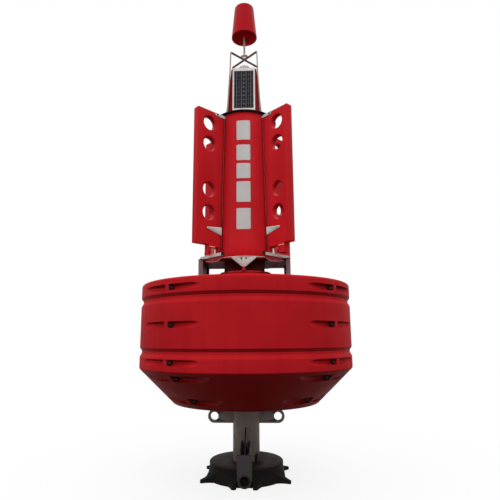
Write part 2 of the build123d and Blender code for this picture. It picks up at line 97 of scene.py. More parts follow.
class Wire:
    """A shader socket that takes part in Python arithmetic."""

    def __init__(self, shader: "Shader", socket: bpy.types.NodeSocket) -> None:
        """Keep the socket and the shader that it belongs to."""
        self.shader = shader
        self.socket = socket

    def _join(self, operation: str, first: "Value", second: "Value") -> "Wire":
        """Add one Math node for an operation on two values."""
        return self.shader.node("ShaderNodeMath", {"operation": operation}, {0: first, 1: second})

    def __add__(self, other: "Value") -> "Wire":
        """Add a value."""
        return self._join("ADD", self, other)

    def __radd__(self, other: "Value") -> "Wire":
        """Add to a number."""
        return self._join("ADD", other, self)

    def __sub__(self, other: "Value") -> "Wire":
        """Take a value away."""
        return self._join("SUBTRACT", self, other)

    def __rsub__(self, other: "Value") -> "Wire":
        """Take away from a number."""
        return self._join("SUBTRACT", other, self)

    def __mul__(self, other: "Value") -> "Wire":
        """Multiply by a value."""
        return self._join("MULTIPLY", self, other)

    def __rmul__(self, other: "Value") -> "Wire":
        """Multiply a number."""
        return self._join("MULTIPLY", other, self)

    def either(self, other: "Value") -> "Wire":
        """The larger of two values."""
        return self._join("MAXIMUM", self, other)


Value = Union[Wire, float]


class Shader:
    """One material and the few kinds of node that the finishes need."""

    def __init__(self, name: str) -> None:
        """Start an empty material with its surface shader.

        Args:
            name: Name of the material.
        """
        self.material = bpy.data.materials.new(name)
        self.material.use_nodes = True
        self.tree = self.material.node_tree
        self.surface = self.tree.nodes["Principled BSDF"]
        self.place = self.node("ShaderNodeTexCoord", output="Object")

    def node(
        self,
        kind: str,
        settings: Optional[dict] = None,
        sockets: Optional[dict] = None,
        output: Union[int, str] = 0,
    ) -> Wire:
        """Add a node.

        Args:
            kind: The node's type.
            settings: Values of the node itself, which are set first.
            sockets: Values or wires for its inputs.
            output: The output to hand back.

        Returns:
            The chosen output.
        """
        made = self.tree.nodes.new(kind)
        for key, setting in (settings or {}).items():
            setattr(made, key, setting)
        for key, value in (sockets or {}).items():
            if isinstance(value, Wire):
                self.tree.links.new(value.socket, made.inputs[key])
            else:
                made.inputs[key].default_value = value
        return Wire(self, made.outputs[output])

    def stretched(self, x: float, y: float, z: float) -> Wire:
        """Scale the object coordinates.

        Args:
            x: Factor along x.
            y: Factor along y.
            z: Factor along z.

        Returns:
            The scaled coordinates.
        """
        return self.node(
            "ShaderNodeVectorMath", {"operation": "MULTIPLY"}, {0: self.place, 1: (x, y, z)}
        )

    def runs(self, scale: float, detail: float, length: float) -> Wire:
        """Noise drawn out into upright streaks.

        Args:
            scale: Streaks per metre across.
            detail: Octaves.
            length: How many times shorter the noise's z axis is.

        Returns:
            The noise, about 0.3 to 0.7.
        """
        return self.noise(scale, detail, self.stretched(1.0, 1.0, length))

    def flakes(self, scale: float) -> Wire:
        """One random level for each crystal.

        Args:
            scale: Crystals per metre.

        Returns:
            The level, 0 to 1.
        """
        sockets = {"Vector": self.place, "Scale": scale}
        cells = self.node("ShaderNodeTexVoronoi", {}, sockets, output="Color")
        return self.node("ShaderNodeSeparateColor", {}, {0: cells})

    def noise(self, scale: float, detail: float = 2.0, vector: Optional[Wire] = None) -> Wire:
        """Smooth noise.

        Args:
            scale: Features per metre.
            detail: Octaves.
            vector: Coordinates, the object's own by default.

        Returns:
            The noise, about 0.3 to 0.7.
        """
        return self.node(
            "ShaderNodeTexNoise", {}, {"Vector": vector or self.place, "Scale": scale, "Detail": detail}
        )

    def step(self, value: Wire, low: float, high: float) -> Wire:
        """Stretch the range between two levels to 0 to 1, and hold it there."""
        return self.node("ShaderNodeMapRange", {}, {"Value": value, "From Min": low, "From Max": high})

    def mix(self, share: Value, first: Union[Wire, Colour], second: Union[Wire, Colour]) -> Wire:
        """Mix two colours.

        Args:
            share: How much of the second, 0 to 1.
            first: Colour at 0.
            second: Colour at 1.

        Returns:
            The mixed colour.
        """
        return self.node(
            "ShaderNodeMix", {"data_type": "RGBA"}, {0: share, 6: first, 7: second}, output=2
        )

    def facing_up(self) -> Wire:
        """How far the surface faces up, from -1 to 1."""
        normal = self.node("ShaderNodeNewGeometry", output="Normal")
        return self.node("ShaderNodeSeparateXYZ", {}, {0: normal}, output="Z")

    def bump(self, height: Wire, depth: float, strength: float = 1.0, under: Optional[Wire] = None) -> Wire:
        """Turn a height into a normal.

        Args:
            height: The height, 0 to 1.
            depth: Its real depth.
            strength: How much of it shows.
            under: A normal that it lies on.

        Returns:
            The normal.
        """
        sockets = {"Height": height, "Distance": depth, "Strength": strength}
        if under:
            sockets["Normal"] = under
        return self.node("ShaderNodeBump", {}, sockets, output="Normal")

    def dress(
        self, sockets: dict[str, Union[Value, Colour]], specular: float = 0.5
    ) -> bpy.types.Material:
        """Set the surface shader's sockets.

        Args:
            sockets: Wires or plain values by socket name.
            specular: How much the surface mirrors; 0.5 is clean plastic.

        Returns:
            The finished material.
        """
        for key, value in {**sockets, "Specular IOR Level": specular}.items():
            socket = self.surface.inputs[key]
            if isinstance(value, Wire):
                self.tree.links.new(value.socket, socket)
            else:
                socket.default_value = value
        return self.material


@dataclass(frozen=True)
class MouldedPlastic:
    """Rotation-moulded polyethylene: satin, a little wavy, with painted highlight on top and painted shade
    below.
    """

    name: str
    colour: Colour
    shade: Colour
    fade_and_highlight: Colour
    under_shade: Colour
    roughness: float = 0.42
    specular: float = 0.1
    wave_depth: float = 0.004
    peel_depth: float = 0.0004
    streaks: float = 0.3

    def material(self) -> bpy.types.Material:
        """Build the material.

        Returns:
            The material.
        """
        shader = Shader(self.name)
        patches = shader.step(shader.noise(1.4, 4.0), 0.35, 0.7)
        runs = shader.step(shader.runs(9.0, 3.0, 0.06), 0.48, 0.72)
        specks = shader.step(shader.noise(120.0, 2.0), 0.66, 0.74)
        upward = shader.facing_up()
        base = shader.mix(patches * 0.55, self.colour, self.shade)
        base = shader.mix(runs * self.streaks, base, self.shade)
        # Painted highlight: faces that point up are mixed towards the lighter colour, which the pale specks
        # share.
        base = shader.mix(shader.step(upward, 0.3, 0.9) * 0.5, base, self.fade_and_highlight)
        # Painted shade: faces that point down are mixed towards the darker colour.
        base = shader.mix(shader.step(upward, -0.15, -0.7), base, self.under_shade)
        base = shader.mix(specks * 0.2, base, self.fade_and_highlight)
        waves = shader.bump(shader.noise(2.2, 1.0), self.wave_depth)
        peel = shader.bump(shader.noise(260.0, 2.0), self.peel_depth, under=waves)
        rough = self.roughness + patches * 0.08 + runs * 0.06
        return shader.dress({"Base Color": base, "Roughness": rough, "Normal": peel}, self.specular)


@dataclass(frozen=True)
class Galvanised:
    """Hot-dip zinc: dull, with a soft spangle and pale bloom."""

    name: str
    light: Colour
    dark: Colour
    spangle_scale: float = 45.0
    specular: float = 0.25
    metallic: float = 0.35

    def material(self) -> bpy.types.Material:
        """Build the material.

        Returns:
            The material.
        """
        shader = Shader(self.name)
        spangle = shader.flakes(self.spangle_scale)
        bloom = shader.step(shader.noise(7.0, 4.0), 0.42, 0.68)
        base = shader.mix(spangle * 0.45, self.light, self.dark)
        base = shader.mix(bloom * 0.35, base, self.light)
        rough = 0.46 + spangle * 0.14 + bloom * 0.12
        grain = shader.bump(shader.noise(400.0, 2.0), 0.0003)
        sockets = {"Base Color": base, "Roughness": rough, "Metallic": self.metallic, "Normal": grain}
        return shader.dress(sockets, self.specular)


@dataclass(frozen=True)
class CoatedSteel:
    """Painted or tarred steel with streaks, scuffs and a little rust."""

    name: str
    colour: Colour
    streak: Colour
    rust: Colour
    rusting: float = 0.3
    roughness: float = 0.5
    metallic: float = 0.0
    specular: float = 0.18

    def material(self) -> bpy.types.Material:
        """Build the material.

        Returns:
            The material.
        """
        shader = Shader(self.name)
        streaks = shader.step(shader.runs(16.0, 4.0, 0.08), 0.42, 0.66)
        blots = shader.step(shader.noise(11.0, 6.0), 0.56, 0.7)
        base = shader.mix(streaks * 0.6, self.colour, self.streak)
        base = shader.mix(blots * self.rusting, base, self.rust)
        rough = self.roughness + streaks * 0.1 + blots * 0.15
        grain = shader.bump(shader.noise(90.0, 5.0), 0.0012)
        sockets = {"Base Color": base, "Roughness": rough, "Metallic": self.metallic, "Normal": grain}
        return shader.dress(sockets, self.specular)


@dataclass(frozen=True)
class CastIron:
    """Black coated sand casting, browner where it faces up as painted light."""

    name: str
    side: Colour
    top: Colour
    rust: Colour
    grain_depth: float = 0.003
    specular: float = 0.05

    def material(self) -> bpy.types.Material:
        """Build the material.

        Returns:
            The material.
        """
        shader = Shader(self.name)
        # Painted light: faces that point up are mixed towards the top colour.
        upward = shader.step(shader.facing_up(), 0.55, 0.95)
        blots = shader.step(shader.noise(9.0, 6.0), 0.5, 0.68)
        base = shader.mix(upward, self.side, self.top)
        base = shader.mix(blots * 0.4, base, self.rust)
        pits = shader.bump(shader.noise(55.0, 6.0), self.grain_depth)
        rough = 0.62 + blots * 0.2
        return shader.dress({"Base Color": base, "Roughness": rough, "Normal": pits}, self.specular)


@dataclass(frozen=True)
class Rubber:
    """Dull black sheet with dust on it."""

    name: str
    colour: Colour
    dust: Colour
    specular: float = 0.2

    def material(self) -> bpy.types.Material:
        """Build the material.

        Returns:
            The material.
        """
        shader = Shader(self.name)
        dusting = shader.step(shader.noise(14.0, 5.0), 0.45, 0.75)
        base = shader.mix(dusting * 0.35, self.colour, self.dust)
        grain = shader.bump(shader.noise(180.0, 2.0), 0.0006)
        rough = 0.7 + dusting * 0.1
        return shader.dress({"Base Color": base, "Roughness": rough, "Normal": grain}, self.specular)


@dataclass(frozen=True)
class SolarCell:
    """Crystalline cells under glass."""

    name: str
    dark: Colour
    bright: Colour
    grain_scale: float = 70.0
    specular: float = 0.15
    glass: float = 0.03

    def material(self) -> bpy.types.Material:
        """Build the material.

        Returns:
            The material.
        """
        shader = Shader(self.name)
        flake = shader.flakes(self.grain_scale)
        base = shader.mix(flake, self.dark, self.bright)
        rough = 0.3 + flake * 0.15
        return shader.dress(
            {"Base Color": base, "Roughness": rough, "Coat Weight": self.glass}, self.specular
        )


@dataclass(frozen=True)
class PlainMetal:
    """Small metal parts with fine scratches."""

    name: str
    colour: Colour
    worn: Colour
    roughness: float = 0.4
    metallic: float = 0.8
    specular: float = 0.2

    def material(self) -> bpy.types.Material:
        """Build the material.

        Returns:
            The material.
        """
        shader = Shader(self.name)
        wear = shader.step(shader.noise(60.0, 4.0), 0.45, 0.7)
        base = shader.mix(wear * 0.6, self.colour, self.worn)
        grain = shader.bump(shader.noise(300.0, 3.0), 0.0004)
        rough = self.roughness + wear * 0.2
        sockets = {"Base Color": base, "Roughness": rough, "Metallic": self.metallic, "Normal": grain}
        return shader.dress(sockets, self.specular)


@dataclass(frozen=True)
class ReflectiveSheet:
    """Pale grey reflective sheeting with its fine cell pattern."""

    name: str
    light: Colour
    dark: Colour
    cell_scale: float = 240.0

    def material(self) -> bpy.types.Material:
        """Build the material.

        Returns:
            The material.
        """
        shader = Shader(self.name)
        edges = shader.node(
            "ShaderNodeTexVoronoi",
            {"feature": "DISTANCE_TO_EDGE"},
            {"Vector": shader.place, "Scale": self.cell_scale},
        )
        cells = shader.step(edges, 0.0, 0.12)
        soil = shader.step(shader.noise(12.0, 5.0), 0.45, 0.75)
        base = shader.mix(cells * 0.5, self.dark, self.light)
        base = shader.mix(soil * 0.25, base, self.dark)
        relief = shader.bump(cells, 0.0002)
        return shader.dress({"Base Color": base, "Roughness": 0.42 + soil * 0.2, "Normal": relief})


@dataclass(frozen=True)
class ClearPlastic:
    """Clear or milky lens plastic, a little hazed by the sun."""

    name: str
    colour: Colour
    alpha: float
    roughness: float = 0.18
    hazed: Colour = paint(205, 203, 198)

    def material(self) -> bpy.types.Material:
        """Build the material.

        Returns:
            The material.
        """
        shader = Shader(self.name)
        haze = shader.step(shader.noise(25.0, 4.0), 0.4, 0.75)
        base = shader.mix(haze * 0.3, self.colour, self.hazed)
        clear = self.alpha + haze * 0.12
        rough = self.roughness + haze * 0.2
        return shader.dress({"Base Color": base, "Roughness": rough, "Alpha": clear})


SHADE = paint(156, 18, 25)
# Lighter red for the float's specks and its painted highlight on upward faces; darker red for painted shade
# on downward faces.
SPECK_AND_HIGHLIGHT = paint(200, 22, 28)
UNDERSIDE_SHADE = paint(114, 17, 18)
RUST = paint(92, 52, 34)


class Finish(Enum):
    """Every finish on the buoy."""

    FLOAT = MouldedPlastic(
        "float_moulding", paint(178, 26, 33), SHADE, SPECK_AND_HIGHLIGHT, UNDERSIDE_SHADE, roughness=0.55, specular=0.035
    )
    # Darker red in the bolt pockets of the keel: painted shade in the recesses.
    KEEL_POCKET = MouldedPlastic(
        "keel_pocket_shade", paint(124, 10, 15), paint(108, 10, 14), paint(134, 16, 20), UNDERSIDE_SHADE, specular=0.08
    )
    # Its pale pink is a painted highlight on upward faces, such as the lower rims of the fin holes; its
    # darkest red is painted shade on downward faces.
    DAYMARK = MouldedPlastic(
        "daymark_moulding",
        paint(190, 23, 32),
        paint(172, 21, 28),
        paint(226, 92, 86),
        paint(160, 16, 24),
        specular=0.07,
        wave_depth=0.002,
    )
    CAN = MouldedPlastic(
        "can_moulding",
        paint(166, 10, 24),
        paint(150, 10, 22),
        paint(160, 14, 26),
        paint(118, 12, 22),
        roughness=0.28,
        specular=0.07,
        wave_depth=0.001,
    )
    # Far lighter than the can's outside though it is the same plastic: painted light inside the can and on
    # the pole's sleeve.
    CAN_INSIDE = MouldedPlastic(
        "can_inside_lit",
        paint(255, 62, 74),
        paint(246, 54, 66),
        paint(255, 62, 74),
        paint(255, 62, 74),
        specular=0.1,
        wave_depth=0.001,
    )
    # Darker red on the can's rounded shoulder: painted shade.
    CAN_EDGE = MouldedPlastic(
        "can_shoulder_shade", paint(110, 10, 20), paint(100, 8, 18), paint(110, 10, 20), UNDERSIDE_SHADE, wave_depth=0.0002
    )
    PYLON = MouldedPlastic(
        "pylon_moulding",
        paint(120, 6, 12),
        paint(100, 6, 10),
        paint(140, 16, 20),
        UNDERSIDE_SHADE,
        specular=0.07,
        wave_depth=0.001,
    )
    KNOB = MouldedPlastic(
        "knob_plastic", paint(176, 16, 48), paint(150, 14, 36), paint(190, 40, 60), UNDERSIDE_SHADE, wave_depth=0.0002
    )
    # Pale pink standing in for lit edges: painted highlight on the fins' lips and the float's neck.
    LIP = MouldedPlastic(
        "painted_lip_highlight",
        paint(255, 168, 148),
        paint(240, 150, 132),
        paint(255, 180, 160),
        SHADE,
        wave_depth=0.0002,
    )
    ZINC = Galvanised("galvanised_plate", paint(190, 193, 188), paint(146, 149, 144), metallic=0.2)
    ZINC_RING = Galvanised("galvanised_ring", paint(204, 192, 182), paint(160, 148, 138), metallic=0.1)
    ZINC_DULL = Galvanised("galvanised_bar", paint(158, 140, 128), paint(116, 102, 94), metallic=0.2)
    # Much paler than the other zinc, for the pole's flange and the fin studs seen from below: painted light.
    FLANGE = Galvanised("galvanised_pale_lit", paint(236, 226, 216), paint(206, 196, 188), metallic=0.0)
    # The galvanised channel's legs are painted dark red as painted shade between leg and panel; their outer
    # edge gets a lighter strip as painted highlight.
    LEG = MouldedPlastic(
        "channel_leg_shade", paint(132, 12, 16), paint(118, 10, 14), paint(150, 30, 32), UNDERSIDE_SHADE, specular=0.1
    )
    LEG_EDGE = MouldedPlastic(
        "channel_edge_lit", paint(160, 46, 46), paint(142, 38, 38), paint(170, 70, 66), UNDERSIDE_SHADE, specular=0.1
    )
    CROSS = Galvanised("galvanised_cross", paint(134, 106, 96), paint(106, 82, 74), metallic=0.0)
    GUSSET = CoatedSteel(
        "gusset_paint", paint(140, 30, 38), paint(110, 22, 30), paint(150, 90, 80), rusting=0.3
    )
    GUSSET_EDGE = CoatedSteel("gusset_edge", paint(178, 132, 118), paint(140, 96, 86), RUST, rusting=0.3)
    TAIL = CoatedSteel("tail_coating", paint(138, 126, 120), paint(148, 134, 127), RUST, rusting=0.25)
    LUG = CoatedSteel("lug_coating", paint(56, 51, 54), paint(46, 41, 43), RUST, rusting=0.15)
    DECK = CoatedSteel(
        "deck_paint", paint(64, 19, 23), paint(48, 15, 19), paint(92, 46, 46), rusting=0.35, specular=0.05
    )
    # Lighter than the deck paint on the rest of the frame: painted light on the front posts.
    POST = CoatedSteel("lit_post_paint", paint(122, 92, 98), paint(98, 70, 76), paint(84, 52, 54), rusting=0.4)
    BALLAST = CastIron("ballast_casting", paint(22, 19, 18), paint(26, 22, 21), paint(31, 25, 22))
    BALLAST_TOP = CastIron("ballast_lit_top", paint(38, 28, 24), paint(48, 34, 28), paint(52, 36, 28))
    COVER = Rubber("cover_sheet", paint(26, 20, 22), paint(56, 46, 48))
    CELL = SolarCell("solar_cell", paint(9, 9, 14), paint(20, 13, 18))
    BACKING = Rubber("cell_backing", paint(104, 106, 112), paint(116, 118, 122))
    RIBBON = PlainMetal(
        "cell_ribbon", paint(118, 114, 122), paint(100, 96, 104), roughness=0.5, metallic=0.0
    )
    RAIL = PlainMetal(
        "panel_frame", paint(206, 198, 196), paint(180, 170, 168), roughness=0.42, metallic=0.3
    )
    WASHER = PlainMetal("dark_washer", paint(42, 26, 27), paint(58, 40, 40), roughness=0.6, metallic=0.2)
    BOLT = PlainMetal("dark_bolt", paint(74, 60, 60), paint(96, 80, 78), roughness=0.5, metallic=0.4)
    STUD = PlainMetal(
        "bright_stud", paint(206, 196, 190), paint(160, 150, 144), roughness=0.32, metallic=0.4
    )
    LANTERN = PlainMetal("lantern_casting", paint(226, 221, 221), paint(200, 194, 194), metallic=0.0)
    SHEET = ReflectiveSheet("reflective_sheet", paint(194, 193, 192), paint(172, 170, 168))
    LENS = ClearPlastic("lantern_lens", paint(244, 242, 242), 0.72)

    def material(self) -> bpy.types.Material:
        """The finish's material, built once."""
        return bpy.data.materials.get(self.value.name) or self.value.material()


def rounded(corners: Sequence[Corner], steps: int) -> list[tuple[float, float]]:
    """Round the inner corners of an open outline with arcs.

    Args:
        corners: The outline's corners with the radius of each, 0 for a sharp one or an end.
        steps: Straight pieces in each arc.

    Returns:
        The outline with its arcs.
    """
    line: list[tuple[float, float]] = []
    for index, (x, y, radius) in enumerate(corners):
        corner = Vector((x, y))
        if radius <= 0.0 or index in (0, len(corners) - 1):
            line.append((corner.x, corner.y))
            continue
        back = (Vector(corners[index - 1][:2]) - corner).normalized()
        on = (Vector(corners[index + 1][:2]) - corner).normalized()
        half = back.angle(on) / 2
        centre = corner + (back + on).normalized() * (radius / math.sin(half))
        first = corner + back * (radius / math.tan(half)) - centre
        last = corner + on * (radius / math.tan(half)) - centre
        turn = first.angle_signed(last)
        for step in range(steps + 1):
            spoke = first.copy()
            spoke.rotate(Matrix.Rotation(-turn * step / steps, 2))
            line.append((centre.x + spoke.x, centre.y + spoke.y))
    return line


def facing(origin: Point, direction: Point, up: Point = (0.0, 0.0, 1.0)) -> Matrix:
    """Place whose z axis points one way.

    Args:
        origin: The place.
        direction: Where local z points.
        up: Roughly where local y points.

    Returns:
        The matrix.
    """
    z_axis = Vector(direction).normalized()
    x_axis = Vector(up).cross(z_axis)
    if x_axis.length < TINY:
        x_axis = Vector((1.0, 0.0, 0.0))
    x_axis.normalize()
    y_axis = z_axis.cross(x_axis)
    turned = Matrix((x_axis, y_axis, z_axis)).transposed().to_4x4()
    return Matrix.Translation(Vector(origin)) @ turned


def around(angle: float, reach: float, height: float = 0.0) -> Vector:
    """Point at an angle in degrees round the axis."""
    turn = math.radians(angle)
    return Vector((reach * math.cos(turn), reach * math.sin(turn), height))


def upright(seat: Point) -> Matrix:
    """Place that stands upright on a seat."""
    return facing(seat, (0.0, 0.0, 1.0), (0.0, 1.0, 0.0))


def fin_angle(index: int) -> float:
    """Angle of a fin in degrees, counted from 0."""
    return 45.0 + 90.0 * index


def circle(radius: float, steps: int, height: float = 0.0) -> list[Vector]:
    """Points round the local z axis.

    Args:
        radius: Their distance from it.
        steps: How many there are.
        height: Their height.

    Returns:
        The points.
    """
    turns = [2 * math.pi * index / steps for index in range(steps)]
    return [Vector((radius * math.cos(turn), radius * math.sin(turn), height)) for turn in turns]


class Mesher:
    """Collects the faces of one piece."""

    def __init__(self) -> None:
        """Start with no faces."""
        self.mesh = bmesh.new()
        self.slot = 0

    def grid(self, rows: list[list[bmesh.types.BMVert]], closed: bool) -> None:
        """Join rows of points with four-sided faces.

        Args:
            rows: Rows of as many points each.
            closed: True where each row runs back to its first point.
        """
        for row, following in zip(rows, rows[1:]):
            count = len(row)
            for index in range(count if closed else count - 1):
                after = (index + 1) % count
                corners = [row[index], row[after], following[after], following[index]]
                corners = list(dict.fromkeys(corners))
                if len(corners) > 2:
                    self.mesh.faces.new(corners).material_index = self.slot

    def lathe(self, profile: Sequence[Point], steps: int, place: Matrix = Matrix()) -> None:
        """Turn a profile of radius and height about the local z axis.

        Args:
            profile: Radii and heights, from one end to the other.
            steps: Pieces in the full turn.
            place: Where the local axes stand.
        """
        rows = []
        for radius, height in profile:
            if radius < TINY:
                rows.append([self.mesh.verts.new(place @ Vector((0.0, 0.0, height)))] * steps)
            else:
                spots = circle(radius, steps, height)
                rows.append([self.mesh.verts.new(place @ spot) for spot in spots])
        self.grid(rows, closed=True)

    def _close(self, rows: list[list[bmesh.types.BMVert]]) -> None:
        """Put a face on the first and the last of the rings."""
        self.mesh.faces.new(list(reversed(rows[0]))).material_index = self.slot
        self.mesh.faces.new(rows[-1]).material_index = self.slot

    def prism(
        self, outline: Sequence[Point], depth: float, place: Matrix = Matrix(), ease: float = 0.0
    ) -> None:
        """Push an outline along the local z axis.

        Args:
            outline: Corners in the local x and y.
            depth: Length along z.
            place: Where the local axes stand.
            ease: How far both ends are chamfered.
        """
        middle = sum((Vector((p[0], p[1])) for p in outline), Vector((0.0, 0.0))) / len(outline)
        levels = [(0.0, 0.0), (depth, 0.0)]
        if ease:
            levels = [(0.0, ease), (ease, 0.0), (depth - ease, 0.0), (depth, ease)]
        rows = []
        for height, inset in levels:
            row = []
            for point in outline:
                spoke = Vector((point[0], point[1])) - middle
                shrink = max(0.0, 1 - inset / max(spoke.length, TINY))
                spot = middle + spoke * shrink
                row.append(self.mesh.verts.new(place @ Vector((spot.x, spot.y, height))))
            rows.append(row)
        self.grid(rows, closed=True)
        self._close(rows)

    def plate(self, width: float, length: float, depth: float, place: Matrix, ease: float = 0.0) -> None:
        """Add a rectangular plate that stands on its place.

        Args:
            width: Its size along the local x.
            length: Its size along the local y.
            depth: Its size along the local z.
            place: The middle of its underside.
            ease: How far both faces are chamfered.
        """
        half_w = width / 2
        half_l = length / 2
        outline = [(-half_w, -half_l), (half_w, -half_l), (half_w, half_l), (-half_w, half_l)]
        self.prism(outline, depth, place, ease)

    def tube(self, path: Sequence[Point], radius: float, sides: int, closed: bool = False) -> None:
        """Run a round rod along a path.

        Args:
            path: Points of its centre line.
            radius: Radius of the rod.
            sides: Sides of its section.
            closed: True for a ring.
        """
        points = [Vector(point) for point in path]
        count = len(points)
        rows = []
        for index, point in enumerate(points):
            before = points[index - 1] if closed or index else point
            after = points[(index + 1) % count] if closed or index < count - 1 else point
            place = facing(point, after - before)
            rows.append([self.mesh.verts.new(place @ spot) for spot in circle(radius, sides)])
        self.grid(rows + [rows[0]] if closed else rows, closed=True)
        if not closed:
            self._close(rows)

    def piece(
        self, name: str, slot: str, *finishes: Finish, smooth: float = SMOOTH_ANGLE
    ) -> bpy.types.Object:
        """Turn the faces into a piece that rides on the buoy.

        Args:
            name: The piece's name.
            slot: The record's material slot; not used.
            *finishes: Finishes in the order of the face slots.
            smooth: Edges under this angle, in degrees, are shaded smooth.

        Returns:
            The piece.
        """
        return settle(self.data(name), name, finishes, smooth)

    def data(self, name: str) -> bpy.types.Mesh:
        """Turn the faces into mesh data and let go of them.

        Args:
            name: Name of the data.

        Returns:
            The mesh data.
        """
        bmesh.ops.recalc_face_normals(self.mesh, faces=self.mesh.faces)
        data = bpy.data.meshes.new(name)
        self.mesh.to_mesh(data)
        self.mesh.free()
        return data


def settle(
    data: bpy.types.Mesh, name: str, finishes: Sequence[Finish], smooth: float
) -> bpy.types.Object:
    """Make a mesh into a named piece with its finishes.

    Args:
        data: The mesh.
        name: The piece's name.
        finishes: Its finishes in the order of the face slots.
        smooth: Edges under this angle, in degrees, are shaded smooth.

    Returns:
        The piece, riding on the buoy.
    """
    for finish in finishes:
        data.materials.append(finish.material())
    data.polygons.foreach_set("use_smooth", [True] * len(data.polygons))
    data.set_sharp_from_angle(angle=math.radians(smooth))
    piece = bpy.data.objects.new(name, data)
    bpy.context.scene.collection.objects.link(piece)
    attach(piece, BODY)
    LOG.info("built %s with %d faces", name, len(data.polygons))
    return piece


def dress_node(
    node: str,
    *finishes: Finish,
    ease: float = 0.0,
    smooth: float = SMOOTH_ANGLE,
    pick: Optional[Callable[[Vector, Vector], int]] = None,
) -> None:
    """Give a solid of the frame its finishes and soft edges.

    Args:
        node: The solid's name.
        *finishes: Its finishes.
        ease: Width of the bevel on its edges.
        smooth: Edges under this angle, in degrees, are shaded smooth.
        pick: Chooses a finish from a face's centre and normal, where there are more than one.
    """
    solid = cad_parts[node]
    solid.data.materials.clear()
    for finish in finishes:
        solid.data.materials.append(finish.material())
    for face in solid.data.polygons:
        face.use_smooth = True
        face.material_index = pick(face.center, face.normal) if pick else 0
    weld = solid.modifiers.new("weld", "WELD")
    weld.merge_threshold = WELD_REACH
    if ease:
        bevel = solid.modifiers.new("ease", "BEVEL")
        bevel.width = ease
        bevel.segments = 2
        bevel.limit_method = "ANGLE"
        bevel.angle_limit = math.radians(smooth)
        bevel.harden_normals = True
    else:
        solid.data.set_sharp_from_angle(angle=math.radians(smooth))
    LOG.info("dressed %s", node)


@dataclass(frozen=True)
class HexBolt:
    """Hexagon head or nut on its washer; the washer takes the first finish, the rest the second."""

    flats: float
    head: float
    washer: float
    washer_height: float
    stud: float = 0.0

    def add(self, mesher: Mesher, place: Matrix) -> None:
        """Add the bolt with its washer's underside on the local xy plane.

        Args:
            mesher: The piece that it joins.
            place: Where it stands; z points out.
        """
        ease = self.washer_height * 0.3
        rim = self.washer_height - ease
        mesher.slot = 0
        mesher.lathe(
            [
                (0.0, 0.0),
                (self.washer, 0.0),
                (self.washer, rim),
                (self.washer - ease, self.washer_height),
                (0.0, self.washer_height),
            ],
            WASHER_STEPS,
            place,
        )
        mesher.slot = 1
        corner = self.flats / math.sqrt(3)
        outline = [tuple(around(60.0 * k + 30.0, corner))[:2] for k in range(6)]
        seat = place @ Matrix.Translation((0.0, 0.0, self.washer_height))
        mesher.prism(outline, self.head, seat, ease=self.head * 0.12)
        if self.stud:
            foot = self.washer_height + self.head
            top = foot + self.stud
            radius = self.flats * 0.33
            tip = radius * 0.25
            section = [(radius, foot), (radius, top - tip), (radius - tip, top), (0.0, top)]
            mesher.lathe(section, STUD_STEPS, place)
        mesher.slot = 0


@dataclass
class Viewpoint:
    """The photographer's place and lens."""

    place: Point = (0.294, -6.375, 1.76)
    pitch: float = 11.296
    roll: float = -0.298
    lens: float = 32.3
    sensor: float = 36.0
    side_shift: float = 0.00926

    def build(self) -> bpy.types.Object:
        """Set up the camera.

        Returns:
            The camera.
        """
        data = bpy.data.cameras.new("camera")
        data.lens = self.lens
        data.sensor_width = self.sensor
        data.shift_x = self.side_shift
        camera = bpy.data.objects.new("camera", data)
        bpy.context.scene.collection.objects.link(camera)
        heading = math.atan2(self.place[0], -self.place[1])
        turn = Matrix.Rotation(heading, 4, "Z") @ Matrix.Rotation(math.radians(90 + self.pitch), 4, "X")
        turn = turn @ Matrix.Rotation(math.radians(self.roll), 4, "Z")
        camera.matrix_world = Matrix.Translation(Vector(self.place)) @ turn
        bpy.context.scene.camera = camera
        return camera


@dataclass(frozen=True)
class Lamp:
    """Square soft lamp: its place, where it points, its side and its power in watts."""

    name: str
    place: Point
    target: Point
    size: float
    power: float

    def build(self) -> None:
        """Hang the lamp."""
        data = bpy.data.lights.new(self.name, "AREA")
        data.size = self.size
        data.energy = self.power
        lamp = bpy.data.objects.new(self.name, data)
        bpy.context.scene.collection.objects.link(lamp)
        lamp.location = self.place
        lamp.rotation_mode = "QUATERNION"
        lamp.rotation_quaternion = (Vector(self.target) - Vector(self.place)).to_track_quat("-Z", "Y")


